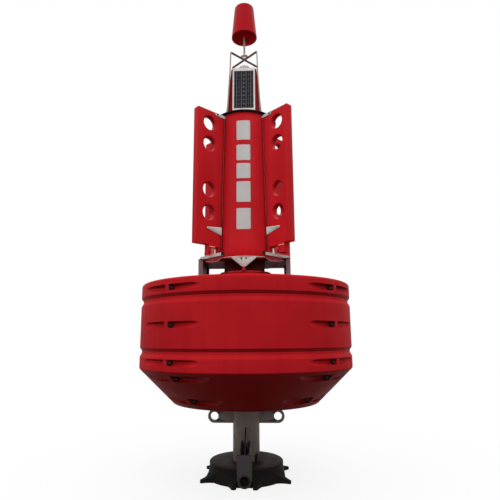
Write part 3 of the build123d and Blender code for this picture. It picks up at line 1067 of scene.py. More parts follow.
@dataclass
class Studio:
    """Pale floor, white background and soft light."""

    floor_reach: float = 60.0
    floor_ring: float = 2.0
    floor_steps: int = 64
    floor_roughness: float = 0.9
    floor_specular: float = 0.1
    floor_colour: Colour = paint(232, 232, 232)
    floor_dark: Colour = paint(70, 66, 64)
    fade_near: float = 0.9
    fade_far: float = 5.0
    fade_least: float = 0.8
    sky_level: float = 1.0
    lamps: tuple[Lamp, ...] = (
        Lamp("key_lamp", (3.0, -9.0, 9.5), (0.0, 0.0, 3.2), 4.0, 272.0),
        Lamp("fill_lamp", (-7.0, -6.0, 6.0), (0.0, 0.0, 3.0), 5.0, 170.0),
        Lamp("rim_lamp", (-2.0, 8.0, 8.0), (0.0, 0.0, 3.5), 5.0, 160.0),
    )

    def build(self) -> None:
        """Build the floor, the sky and the lamps."""
        self._floor()
        self._sky()
        for lamp in self.lamps:
            lamp.build()
        bpy.context.scene.view_settings.view_transform = "Standard"

    def _floor(self) -> None:
        """Lay a floor that shows the shadow near the buoy, fades to white, and throws little light up."""
        mesher = Mesher()
        mesher.lathe([(0.0, 0.0), (self.floor_ring, 0.0), (self.floor_reach, 0.0)], self.floor_steps)
        data = bpy.data.meshes.new("floor")
        mesher.mesh.to_mesh(data)
        mesher.mesh.free()
        floor = bpy.data.objects.new("floor", data)
        bpy.context.scene.collection.objects.link(floor)
        shader = Shader("floor_paint")
        seen = shader.node("ShaderNodeLightPath", output="Is Camera Ray")
        for ray in ("Is Glossy Ray", "Is Transmission Ray"):
            seen = seen.either(shader.node("ShaderNodeLightPath", output=ray))
        colour = shader.mix(seen, self.floor_dark, self.floor_colour)
        shader.dress({"Base Color": colour, "Roughness": self.floor_roughness}, self.floor_specular)
        length = {"operation": "LENGTH"}
        reach = shader.node("ShaderNodeVectorMath", length, {0: shader.place}, output="Value")
        fade_and_highlight = self.fade_least + shader.step(reach, self.fade_near, self.fade_far) * (1.0 - self.fade_least)
        white = shader.node("ShaderNodeEmission", {}, {"Color": WHITE, "Strength": 1.0})
        plain = Wire(shader, shader.surface.outputs[0])
        blend = shader.node("ShaderNodeMixShader", {}, {0: fade_and_highlight * seen, 1: plain, 2: white})
        output = shader.tree.nodes["Material Output"]
        shader.tree.links.new(blend.socket, output.inputs["Surface"])
        data.materials.append(shader.material)

    def _sky(self) -> None:
        """Make the background white, to the eye, in mirrors and as a light."""
        world = bpy.data.worlds.new("sky")
        world.use_nodes = True
        bpy.context.scene.world = world
        background = world.node_tree.nodes["Background"]
        background.inputs["Color"].default_value = WHITE
        background.inputs["Strength"].default_value = self.sky_level


@dataclass(frozen=True)
class Groove:
    """Moulded groove round the float."""

    foot: float
    depth: float = 0.026
    lower_flank: float = 0.043
    floor: float = 0.030
    upper_flank: float = 0.038
    roundings: tuple[float, float, float, float] = (0.050, 0.014, 0.008, 0.010)

    def corners(self, radius: float) -> list[Corner]:
        """Find the groove's corners, from below.

        Args:
            radius: The float's radius.

        Returns:
            Radius, height and rounding of each corner.
        """
        sole = self.foot + self.lower_flank
        ceiling = sole + self.floor
        inner = radius - self.depth
        places = ((radius, self.foot), (inner, sole), (inner, ceiling), (radius, ceiling + self.upper_flank))
        return [(*place, rounding) for place, rounding in zip(places, self.roundings)]


@dataclass
class Float:
    """Four moulded modules, their grooves, bolt pockets and bolts."""

    radius: float = 1.435
    base_radius: float = 0.970
    bore_radius: float = 0.190
    rim: float = 1.400
    top: float = 2.488
    neck_radius: float = 0.360
    grooves: tuple[Groove, ...] = (Groove(1.553), Groove(2.191))
    base_rounding: float = 0.05
    rim_rounding: float = 0.034
    top_rounding: float = 0.040
    neck_roundings: tuple[float, float] = (0.03, 0.02)
    arc_steps: int = 5
    seam_gap: float = 0.002
    flange: float = 0.025
    first_seam: float = -38.0
    side_bolts: tuple[float, ...] = (2.371, 1.935, 1.502)
    keel_bolts: tuple[float, ...] = (1.320, 1.043)
    side_inset: float = 0.046
    keel_inset: float = 0.065
    pocket_radius: float = 0.037
    pocket_length: float = 0.62
    pocket_steps: int = 12
    edge: float = 0.006
    bend: float = 38.0
    smooth: float = 40.0
    surface_slack: float = 0.0006
    surface_match: float = 0.9
    steps: int = 44
    bolt: HexBolt = HexBolt(flats=0.036, head=0.014, washer=0.0355, washer_height=0.011, stud=0.008)

    def seams(self) -> list[float]:
        """Angles of the four seams in degrees."""
        return [self.first_seam + 90.0 * index for index in QUARTERS]

    def bolt_spots(self) -> list[tuple[float, float]]:
        """Find the bolts of a seam.

        Returns:
            Radius and height of each bolt.
        """
        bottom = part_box("float_module_1")[0].z
        slope = (self.radius - self.base_radius) / (self.rim - bottom)
        spots = [(self.radius - self.side_inset, height) for height in self.side_bolts]
        for height in self.keel_bolts:
            spots.append((self.radius - slope * (self.rim - height) - self.keel_inset, height))
        return spots

    def profile(self) -> list[tuple[float, float]]:
        """Draw the section of a module, from the bore at the bottom to the bore at the top.

        Returns:
            Radius and height of its points.
        """
        low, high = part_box("float_module_1")
        corners = [(self.bore_radius, low.z, 0.0), (self.base_radius, low.z, self.base_rounding)]
        corners.append((self.radius, self.rim, self.rim_rounding))
        for groove in self.grooves:
            corners += groove.corners(self.radius)
        corners.append((self.radius, self.top, self.top_rounding))
        for height, rounding in zip((self.top, high.z), self.neck_roundings):
            corners.append((self.neck_radius, height, rounding))
        corners.append((self.bore_radius, high.z, 0.0))
        return rounded(corners, self.arc_steps)

    def _module(self, seam: float) -> bpy.types.Mesh:
        """Mesh of one module between its two seams.

        Args:
            seam: Angle of its first seam in degrees.

        Returns:
            The mesh, before its pockets are cut.
        """
        mesher = Mesher()
        profile = self.profile()
        half_gap = self.seam_gap / 2
        rows = []
        for index in range(self.steps + 1):
            share = index / self.steps
            row = []
            for radius, height in profile:
                trim = math.degrees(math.asin(half_gap / radius))
                angle = seam + trim + (90.0 - 2 * trim) * share
                row.append(mesher.mesh.verts.new(around(angle, radius, height)))
            rows.append(row)
        mesher.grid(rows, closed=True)
        mesher.mesh.faces.new(rows[0])
        mesher.mesh.faces.new(list(reversed(rows[-1])))
        return mesher.data("module")

    def _cutter(self, seam: float) -> bpy.types.Object:
        """Round-ended channels that cut the bolt pockets into one module, open outwards.

        Args:
            seam: Angle of its first seam in degrees.

        Returns:
            A helper object.
        """
        mesher = Mesher()
        face = self.seam_gap / 2 + self.flange
        for turn, at in ((1.0, seam), (-1.0, seam + 90.0)):
            sideways = around(at + 90.0, turn)
            outline = []
            for k in range(self.pocket_steps + 1):
                spoke = around(90.0 + 180.0 * k / self.pocket_steps, self.pocket_radius)
                outline.append((-turn * spoke.x, spoke.y))
            outline += [
                (-turn * self.pocket_length, -self.pocket_radius),
                (-turn * self.pocket_length, self.pocket_radius),
            ]
            for radius, height in self.bolt_spots():
                start = around(at, radius, height) + sideways * face
                mesher.prism(outline, self.pocket_length, facing(start, sideways))
        cutter = bpy.data.objects.new("pockets", mesher.data("pockets"))
        bpy.context.scene.collection.objects.link(cutter)
        return cutter

    def _skins(self) -> None:
        """Build the four modules with soft edges and cut pockets."""
        for index, seam in enumerate(self.seams()):
            name = f"float_skin_{index + 1}"
            helper = bpy.data.objects.new("helper", self._module(seam))
            bpy.context.scene.collection.objects.link(helper)
            cutter = self._cutter(seam)
            cut = helper.modifiers.new("cut", "BOOLEAN")
            cut.operation = "DIFFERENCE"
            cut.solver = "EXACT"
            cut.object = cutter
            ease = helper.modifiers.new("ease", "BEVEL")
            ease.width = self.edge
            ease.segments = 2
            ease.limit_method = "ANGLE"
            ease.angle_limit = math.radians(self.bend)
            graph = bpy.context.evaluated_depsgraph_get()
            data = bpy.data.meshes.new_from_object(helper.evaluated_get(graph))
            bpy.data.objects.remove(helper)
            bpy.data.objects.remove(cutter)
            data.name = name
            finishes = (Finish.FLOAT, Finish.KEEL_POCKET)
            skin = settle(data, name, finishes, self.smooth)
            self._shade(skin.data)
            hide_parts(f"float_module_{index + 1}")

    def _shade(self, data: bpy.types.Mesh) -> None:
        """Give the turned surface its own normals, and the pockets in the keel a darker finish as painted
        shade.

        Args:
            data: Mesh of one module.
        """
        line = np.array(self.profile())
        step = np.diff(line, axis=0)
        length = np.linalg.norm(step, axis=1)
        flat = np.stack([step[:, 1], -step[:, 0]], axis=1) / length[:, None]
        starts = flat.copy()
        ends = flat.copy()
        for k in range(1, len(flat)):
            if flat[k - 1] @ flat[k] > math.cos(math.radians(self.bend)):
                mean = flat[k - 1] + flat[k]
                starts[k] = ends[k - 1] = mean / np.linalg.norm(mean)
        places = np.array([vertex.co for vertex in data.vertices])
        reach = np.hypot(places[:, 0], places[:, 1])
        offset = np.stack([reach, places[:, 2]], axis=1)[:, None, :] - line[None, :-1, :]
        share = np.clip((offset * step).sum(axis=2) / length**2, 0.0, 1.0)
        gap = np.linalg.norm(offset - share[..., None] * step, axis=2)
        away = gap.min(axis=1)
        normals = np.zeros((len(data.loops), 3))
        for face in data.polygons:
            corners = list(face.vertices)
            if away[corners].max() > self.surface_slack:
                # Pocket walls below the rim take the darker finish: painted shade.
                face.material_index = int(face.center.z < self.rim)
                continue
            k = int(gap[corners].sum(axis=0).argmin())
            spoke = face.center.xy.normalized()
            if face.normal.xy @ spoke * flat[k][0] + face.normal.z * flat[k][1] < self.surface_match:
                continue
            for loop, corner in zip(face.loop_indices, corners):
                tilt = starts[k] + (ends[k] - starts[k]) * share[corner, k]
                around_axis = places[corner, :2] / reach[corner]
                normals[loop] = (*(around_axis * tilt[0]), tilt[1])
        data.normals_split_custom_set([tuple(normal) for normal in normals])

    def _bolts(self) -> None:
        """Put a bolt or nut on each side of every seam."""
        face = self.seam_gap / 2 + self.flange
        for index, seam in enumerate(self.seams()):
            mesher = Mesher()
            for turn in SIDES:
                sideways = around(seam + 90.0, turn)
                for radius, height in self.bolt_spots():
                    start = around(seam, radius, height) + sideways * face
                    self.bolt.add(mesher, facing(start, sideways))
            mesher.piece(f"seam_bolts_{index + 1}", "tail_steel", Finish.WASHER, Finish.BOLT)

    def build(self) -> None:
        """Build and dress the float."""
        self._skins()
        self._bolts()


@dataclass
class Tail:
    """Tube, eyes, lugs and casting below the float."""

    tube_radius: float = 0.1778
    bead: float = 0.007
    bead_sides: int = 7
    bead_proud: float = 0.35
    ring_steps: int = 60
    ring_waver: float = 0.0008
    line_step: float = 0.02
    line_waver: float = 0.0007
    weld_gaps: tuple[float, float] = (0.035, 0.006)
    keeper_bolt: HexBolt = HexBolt(flats=0.024, head=0.012, washer=0.016, washer_height=0.003, stud=0.008)
    keeper_angles: tuple[float, float] = (-40.0, 140.0)
    keeper_bolt_gap: float = 0.020
    eye_height: float = 0.087
    eye_shadow_ring: tuple[float, float, float] = (0.0575, 0.074, 0.004)
    eye_depth: float = 0.024
    eye_steps: int = 48
    web_half: float = 0.012
    web_reach: float = 0.535
    lug_welds: tuple[float, float] = (0.008, 0.059)
    side_weld_top: float = 0.47
    seed: int = 4

    def _ring_bead(self, mesher: Mesher, height: float, draw: random.Random) -> None:
        """Run a weld bead round the tube.

        Args:
            mesher: The piece that it joins.
            height: Height of the bead.
            draw: Source of its small unevenness.
        """
        reach = self.tube_radius + self.bead * self.bead_proud
        path = []
        for k in range(self.ring_steps):
            waver = draw.uniform(-self.ring_waver, self.ring_waver)
            path.append(around(360.0 * k / self.ring_steps, reach + waver, height))
        mesher.tube(path, self.bead, self.bead_sides, closed=True)

    def _line_bead(self, mesher: Mesher, start: Vector, end: Vector, draw: random.Random) -> None:
        """Run a straight weld bead.

        Args:
            mesher: The piece that it joins.
            start: One end.
            end: The other end.
            draw: Source of its small unevenness.
        """
        count = max(6, int((end - start).length / self.line_step))
        path = []
        for index in range(count + 1):
            waver = Vector([draw.uniform(-self.line_waver, self.line_waver) for _ in range(3)])
            path.append(start.lerp(end, index / count) + waver)
        mesher.tube(path, self.bead, self.bead_sides)

    def _welds(self) -> None:
        """Lay the weld beads of the eyes and lugs on the tube."""
        draw = random.Random(self.seed)
        mesher = Mesher()
        eye_low, eye_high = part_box("padeye_right")
        half = (eye_high.y - eye_low.y) / 2
        for side in SIDES:
            reach = math.sqrt(self.tube_radius**2 - half**2) * side
            for edge in (-half, half):
                low = Vector((reach, edge, eye_low.z + self.bead))
                high = Vector((reach, edge, eye_high.z - self.bead))
                self._line_bead(mesher, low, high, draw)
        low_gap, high_gap = self.weld_gaps
        tops = (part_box("mooring_lug_front")[1].z, self.side_weld_top)
        casting_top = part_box("counterweight")[1].z
        for face in SIDES:
            lines = [(side * across, top) for across, top in zip(self.lug_welds, tops) for side in SIDES]
            for across, top in lines:
                reach = face * math.sqrt(self.tube_radius**2 - across**2)
                low = Vector((across, reach, casting_top + low_gap))
                high = Vector((across, reach, top - high_gap))
                self._line_bead(mesher, low, high, draw)
        self._ring_bead(mesher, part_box("float_seat")[0].z, draw)
        mesher.piece("tail_welds", "tail_steel", Finish.TAIL, smooth=BEAD_ANGLE)

    def _eye_shadow_rings(self) -> None:
        """Set a dark ring into the eye of each mooring lug, painted shadow round the eye."""
        inner, outer, proud = self.eye_shadow_ring
        for name, side in FACES:
            low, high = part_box(f"mooring_lug_{name}")
            face = max(abs(low.y), abs(high.y))
            mesher = Mesher()
            section = [(inner, -self.eye_depth), (inner, proud - 0.002), (inner + 0.002, proud)]
            section += [(outer - 0.003, proud), (outer, proud - 0.003), (outer, -0.0005)]
            place = facing((0.0, side * face, self.eye_height), (0.0, side, 0.0))
            mesher.lathe(section, self.eye_steps, place)
            mesher.piece(f"eye_shadow_ring_{name}", "tail_steel", Finish.WASHER)

    def _keeper_bolts(self) -> None:
        """Put a bolt on top of each keeper block."""
        mesher = Mesher()
        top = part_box("keeper_blocks")[1].z
        for angle in self.keeper_angles:
            seat = around(angle, self.tube_radius + self.keeper_bolt_gap, top)
            self.keeper_bolt.add(mesher, upright(seat))
        mesher.piece("keeper_bolts", "tail_steel", Finish.WASHER, Finish.BOLT)

    def build(self) -> None:
        """Dress the solids and add welds and bolts."""
        casting_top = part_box("counterweight")[1].z

        def web_edge_shade(centre: Vector, normal: Vector) -> int:
            """Pick the dark finish on the web's outer edge, painted shade."""
            inside = abs(centre.x) < self.web_half and abs(centre.y) < self.web_reach
            return int(inside and abs(normal.x) < 0.5)

        def lit_top_face(centre: Vector, normal: Vector) -> int:
            """Pick the browner finish on the top of the casting, painted light."""
            return int(normal.z > 0.7 and centre.z > casting_top - 0.03)

        dress_node("tail_tube", Finish.TAIL)
        for node in ("float_seat", "padeye_right", "padeye_left"):
            dress_node(node, Finish.TAIL, ease=0.003)
        for name, _ in FACES:
            dress_node(f"mooring_lug_{name}", Finish.LUG, Finish.WASHER, ease=0.003, pick=web_edge_shade)
        # The keeper blocks take the darker lug coating instead of the tube's: painted shade.
        dress_node("keeper_blocks", Finish.LUG, ease=0.003)
        dress_node("counterweight", Finish.BALLAST, Finish.BALLAST_TOP, ease=0.004, pick=lit_top_face)
        self._eye_shadow_rings()
        self._welds()
        self._keeper_bolts()


@dataclass
class Deck:
    """Deck, pedestal, feet and V gussets between float and daymark."""

    float_top: float = 2.488
    top: float = 2.845
    plate: float = 0.028
    post_foot: float = 0.010
    post_reach: tuple[float, float] = (0.597, 0.330)
    post_bolt_spread: float = 0.042
    gusset_reach: float = 0.480
    gusset_half: float = 0.005
    rod_radius: float = 0.013
    small_bolt: HexBolt = HexBolt(flats=0.016, head=0.007, washer=0.0105, washer_height=0.002)
    gusset_bolt_spread: float = 0.031
    gusset_bolt_drop: float = 0.020
    foot: tuple[float, float, float] = (0.506, 0.640, 0.228)
    foot_top: float = 2.885
    shadow_block: tuple[float, float, float] = (0.036, 0.028, 0.042)
    shadow_block_gaps: tuple[float, float, float] = (0.019, 0.012, 0.006)
    flange_top: float = 2.71
    front_post: float = -0.29
    side_web: float = 0.008
    side_web_gap: float = 0.050
    gusset_plate: tuple[float, float] = (0.608, 0.014)
    gusset_bead: float = 0.0045
    gusset_edge: tuple[tuple[float, float], ...] = (
        (-0.165, 0.0),
        (-0.150, 0.022),
        (-0.100, 0.042),
        (0.0, 0.058),
        (0.100, 0.066),
        (0.165, 0.055),
        (0.212, 0.028),
        (0.222, 0.0),
    )
    neck_bead: tuple[float, float, float] = (0.3615, 2.672, 0.0035)
    neck_steps: int = 72

    def _post_bolts(self) -> None:
        """Bolt the posts' foot plates down."""
        mesher = Mesher()
        for x_side, y_side, dx, dy in product(SIDES, repeat=4):
            x = x_side * self.post_reach[0] + dx * self.post_bolt_spread
            y = y_side * self.post_reach[1] + dy * self.post_bolt_spread
            self.small_bolt.add(mesher, upright((x, y, self.float_top + self.post_foot)))
        mesher.piece("post_bolts", "deck_steel", Finish.WASHER, Finish.BOLT)

    def _gusset_bolts(self) -> None:
        """Bolt the two leaves of each V gusset beside its rod."""
        for name, side in FACES:
            mesher = Mesher()
            for across in SIDES:
                y = side * (self.gusset_reach + self.gusset_half)
                seat = (across * self.gusset_bolt_spread, y, self.top - self.gusset_bolt_drop)
                self.small_bolt.add(mesher, facing(seat, (0.0, side, 0.0)))
            mesher.piece(f"gusset_bolts_{name}", "galvanised", Finish.WASHER, Finish.WASHER)

    def _feet(self) -> None:
        """Build the fins' feet with cut ends, the front ones' gussets, and dark blocks at their ends as
        painted shadow.
        """
        inner, outer, half = self.foot
        inset, aside, rise = self.shadow_block_gaps
        low, high = self.top, self.foot_top
        plan = [(outer, -half), (outer, half), (inner, half - outer + inner), (inner, outer - inner - half)]
        finishes = (Finish.ZINC, Finish.GUSSET, Finish.GUSSET_EDGE, Finish.COVER)
        for index in QUARTERS:
            angle = fin_angle(index)
            turn = 1.0 if index % 2 == 0 else -1.0
            spin = Matrix.Rotation(math.radians(angle), 4, "Z")
            mesher = Mesher()
            mesher.prism(plan, high - low, spin @ Matrix.Translation((0.0, 0.0, low)), ease=0.003)
            if index > 1:
                mesher.slot = 1
                edge = [(turn * t, -depth) for t, depth in self.gusset_edge]
                plate = facing(around(angle, self.gusset_plate[0], low), around(angle, 1.0))
                mesher.prism(edge, self.gusset_plate[1], plate, ease=0.002)
                mesher.slot = 2
                rim = self.gusset_plate[0] + self.gusset_plate[1]
                path = [around(angle, rim, low + z) + around(angle + 90.0, t) for t, z in edge[1:-1]]
                mesher.tube(path, self.gusset_bead, ROD_SIDES)
            # A dark block beside each foot's outer corner stands in for the shade in the bar's open end:
            # painted shadow.
            mesher.slot = 3
            seat = spin @ Matrix.Translation((outer - inset, turn * (half + aside), low + rise))
            mesher.plate(*self.shadow_block, seat, ease=0.003)
            foot = mesher.piece(f"foot_piece_{index + 1}", "galvanised", *finishes)
            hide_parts(f"fin_foot_{index + 1}")

    def _side_webs(self) -> None:
        """Close each side between the front and the back post with a web."""
        low = self.float_top + self.post_foot
        high = self.top - self.plate
        length = 2 * self.post_reach[1] - self.side_web_gap
        mesher = Mesher()
        for side in SIDES:
            place = Matrix.Translation((side * self.post_reach[0], 0.0, low))
            mesher.plate(self.side_web, length, high - low, place, ease=0.001)
        mesher.piece("deck_side_webs", "deck_steel", Finish.DECK)

    def _neck_bead(self) -> None:
        """Run a pale bead round the float's neck, coloured as painted highlight."""
        reach, height, radius = self.neck_bead
        mesher = Mesher()
        path = [around(360.0 * k / self.neck_steps, reach, height) for k in range(self.neck_steps)]
        mesher.tube(path, radius, ROD_SIDES, closed=True)
        mesher.piece("neck_bead", "float_plastic", Finish.LIP, smooth=BEAD_ANGLE)

    def build(self) -> None:
        """Dress the solids and add their bolts."""

        def front_posts(centre: Vector, normal: Vector) -> int:
            """Pick the lighter finish on the two front posts, painted light."""
            return int(centre.z < self.top - self.plate - 0.001 and centre.y < self.front_post)

        def pedestal_flange(centre: Vector, normal: Vector) -> int:
            """Pick the float's red on the flange that stands on its neck."""
            return int(centre.z < self.flange_top)

        def leaf_or_rod(centre: Vector, normal: Vector) -> int:
            """Pick the brighter finish on the upright rod between the leaves."""
            return int(abs(centre.x) <= self.rod_radius + 0.0005)

        dress_node("deck_frame", Finish.DECK, Finish.POST, ease=0.004, pick=front_posts)
        dress_node("pedestal", Finish.DECK, Finish.FLOAT, ease=0.005, pick=pedestal_flange)
        dress_node("base_ring", Finish.ZINC_RING, ease=0.002)
        dress_node("rod_knobs", Finish.KNOB, ease=0.004)
        for name, _ in FACES:
            dress_node(f"v_gusset_{name}", Finish.ZINC, Finish.STUD, ease=0.0015, pick=leaf_or_rod)
        self._post_bolts()
        self._gusset_bolts()
        self._feet()
        self._neck_bead()
        self._side_webs()


@dataclass(frozen=True)
class Patch:
    """Blank patch of reflective sheet: the height of its middle, and its own height."""

    middle: float
    height: float


@dataclass
class Daymark:
    """Tapered shell, fins, channels and blank reflective patches."""

    low_radius: float = 0.492
    top_radius: float = 0.430
    low: float = 2.857
    top: float = 4.985
    foot_top: float = 2.885
    fin_half: float = 0.045
    fin_steps: tuple[float, float] = (0.702, 0.810)
    channel_half: float = 0.0535
    cap_height: float = 0.042
    leg_lip: tuple[float, float] = (0.008, 0.030)
    lip_thickness: float = 0.006
    lip_edge: float = 0.0015
    lip_inset: float = 0.004
    leg_reach: float = 0.012
    cap_bolt: HexBolt = HexBolt(flats=0.020, head=0.008, washer=0.014, washer_height=0.003, stud=0.004)
    cap_bolt_reach: float = 0.575
    foot_nut: HexBolt = HexBolt(flats=0.034, head=0.018, washer=0.028, washer_height=0.005, stud=0.062)
    foot_nut_reach: float = 0.566
    clamp_bolt: HexBolt = HexBolt(flats=0.018, head=0.010, washer=0.013, washer_height=0.003)
    clamp_bolt_place: tuple[float, float] = (0.693, 0.022)
    fin_lip: tuple[float, float, float] = (0.100, 0.008, 0.101)
    fin_lip_radius: float = 0.009
    patch_width: float = 0.200
    patch_rise: float = 0.0015
    patch_corner: float = 0.018
    corner_steps: int = 5
    patch_thickness: float = 0.0012
    patches: tuple[Patch, ...] = (
        Patch(4.695, 0.300),
        Patch(4.352, 0.236),
        Patch(4.076, 0.226),
        Patch(3.767, 0.300),
        Patch(3.378, 0.298),
    )
    columns: int = 16
    rows: int = 10

    def radius(self, height: float) -> float:
        """Outer radius of the shell at a height."""
        share = (height - self.low) / (self.top - self.low)
        return self.low_radius + (self.top_radius - self.low_radius) * share

    def _patch(self, index: int, patch: Patch) -> None:
        """Lay one rounded patch on the front panel.

        Args:
            index: Its number, from the top.
            patch: Its height and place.
        """
        half_w = self.patch_width / 2
        half_h = patch.height / 2
        corner = self.patch_corner
        levels = [-half_h + patch.height * k / self.rows for k in range(self.rows + 1)]
        for side, k in product(SIDES, range(1, self.corner_steps)):
            turn = math.radians(90.0 * k / self.corner_steps)
            levels.append(side * (half_h - corner * (1 - math.sin(turn))))
        mesher = Mesher()
        rows = []
        for level in sorted(levels):
            inset = max(0.0, abs(level) - (half_h - corner))
            reach = half_w - (corner - math.sqrt(max(0.0, corner**2 - inset**2)))
            radius = self.radius(patch.middle + level) + self.patch_rise
            row = []
            for k in range(self.columns + 1):
                across = -reach + 2 * reach * k / self.columns
                angle = -90.0 + math.degrees(across / radius)
                row.append(mesher.mesh.verts.new(around(angle, radius, patch.middle + level)))
            rows.append(row)
        mesher.grid(rows, closed=False)
        sheet = mesher.piece(f"reflective_patch_{index + 1}", "daymark_plastic", Finish.SHEET)
        thick = sheet.modifiers.new("thickness", "SOLIDIFY")
        thick.thickness = self.patch_thickness
        thick.offset = -1.0

    def _leg_lips(self) -> None:
        """Fold a narrow lip outwards along each leg of the channels: dark red as painted shade, with a
        lighter outer edge as painted highlight.
        """
        near, far = self.leg_lip
        edge = far - self.lip_edge
        foot = self.foot_top
        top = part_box("fin_1")[1].z - self.cap_height
        for index in QUARTERS:
            sideways = around(fin_angle(index) + 90.0, 1.0)
            mesher = Mesher()
            for side in SIDES:
                offset = side * (self.channel_half - self.lip_inset) - self.lip_thickness / 2
                seat = sideways * offset
                place = facing(seat, sideways)
                for slot, inner, outer in ((0, near, edge), (1, edge, far)):
                    mesher.slot = slot
                    outline = [(-self.radius(foot) - inner, foot), (-self.radius(foot) - outer, foot)]
                    outline += [(-self.radius(top) - outer, top), (-self.radius(top) - inner, top)]
                    mesher.prism(outline, self.lip_thickness, place)
            mesher.piece(f"leg_lips_{index + 1}", "galvanised", Finish.LEG, Finish.LEG_EDGE)

    def _cap_bolts(self) -> None:
        """Bolt each fin through the cap of its channel."""
        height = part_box("fin_1")[1].z - self.cap_height / 2
        for index in QUARTERS:
            angle = fin_angle(index)
            mesher = Mesher()
            for side in SIDES:
                sideways = around(angle + 90.0, side)
                seat = around(angle, self.cap_bolt_reach, height) + sideways * self.channel_half
                self.cap_bolt.add(mesher, facing(seat, sideways))
            mesher.piece(f"cap_bolts_{index + 1}", "galvanised", Finish.BOLT, Finish.BOLT)

    def _fin_feet(self) -> None:
        """Add the stud, the moulded lip and the clamp bolt at the foot of each fin."""
        clamp_reach, clamp_rise = self.clamp_bolt_place
        lip_start, lip_end, lip_rise = self.fin_lip
        for index in QUARTERS:
            angle = fin_angle(index)
            mesher = Mesher()
            self.foot_nut.add(mesher, upright(around(angle, self.foot_nut_reach, self.foot_top)))
            # The stud's second finish is the pale zinc, painted light.
            mesher.piece(f"fin_stud_{index + 1}", "galvanised", Finish.ZINC, Finish.FLANGE)
            step = self.fin_steps[index % 2]
            bolts = Mesher()
            lips = Mesher()
            for side in SIDES:
                sideways = around(angle + 90.0, side)
                face = sideways * self.fin_half
                seat = around(angle, clamp_reach, self.foot_top + clamp_rise) + face
                self.clamp_bolt.add(bolts, facing(seat, sideways))
                ends = (step - lip_start, step - lip_end)
                path = [around(angle, reach, self.foot_top + lip_rise) + face for reach in ends]
                lips.tube(path, self.fin_lip_radius, ROD_SIDES)
            bolts.piece(f"clamp_bolts_{index + 1}", "galvanised", Finish.COVER, Finish.COVER)
            # The lips' pale finish is a painted highlight along the ledge.
            lips.piece(f"fin_lips_{index + 1}", "daymark_plastic", Finish.LIP)

    def build(self) -> None:
        """Dress the solids and add patches, bolts and studs."""

        def channel_parts(centre: Vector, normal: Vector) -> int:
            """Pick the bright finish on the arms and the cap, which stand out from the legs; the legs get
            dark red as painted shade.
            """
            return int(centre.xy.length > self.radius(centre.z) + self.leg_reach)

        # The core takes the darker pylon red: painted shade in the grooves beside the fins.
        dress_node("daymark_core", Finish.PYLON)
        for name in ("front", "back", "left", "right"):
            dress_node(f"daymark_panel_{name}", Finish.DAYMARK, ease=0.006)
        for index in QUARTERS:
            dress_node(f"fin_{index + 1}", Finish.DAYMARK, ease=0.009, smooth=36.0)
            dress_node(f"fin_channel_{index + 1}", Finish.LEG, Finish.ZINC, pick=channel_parts)
        for index, patch in enumerate(self.patches):
            self._patch(index, patch)
        self._leg_lips()
        self._cap_bolts()
        self._fin_feet()


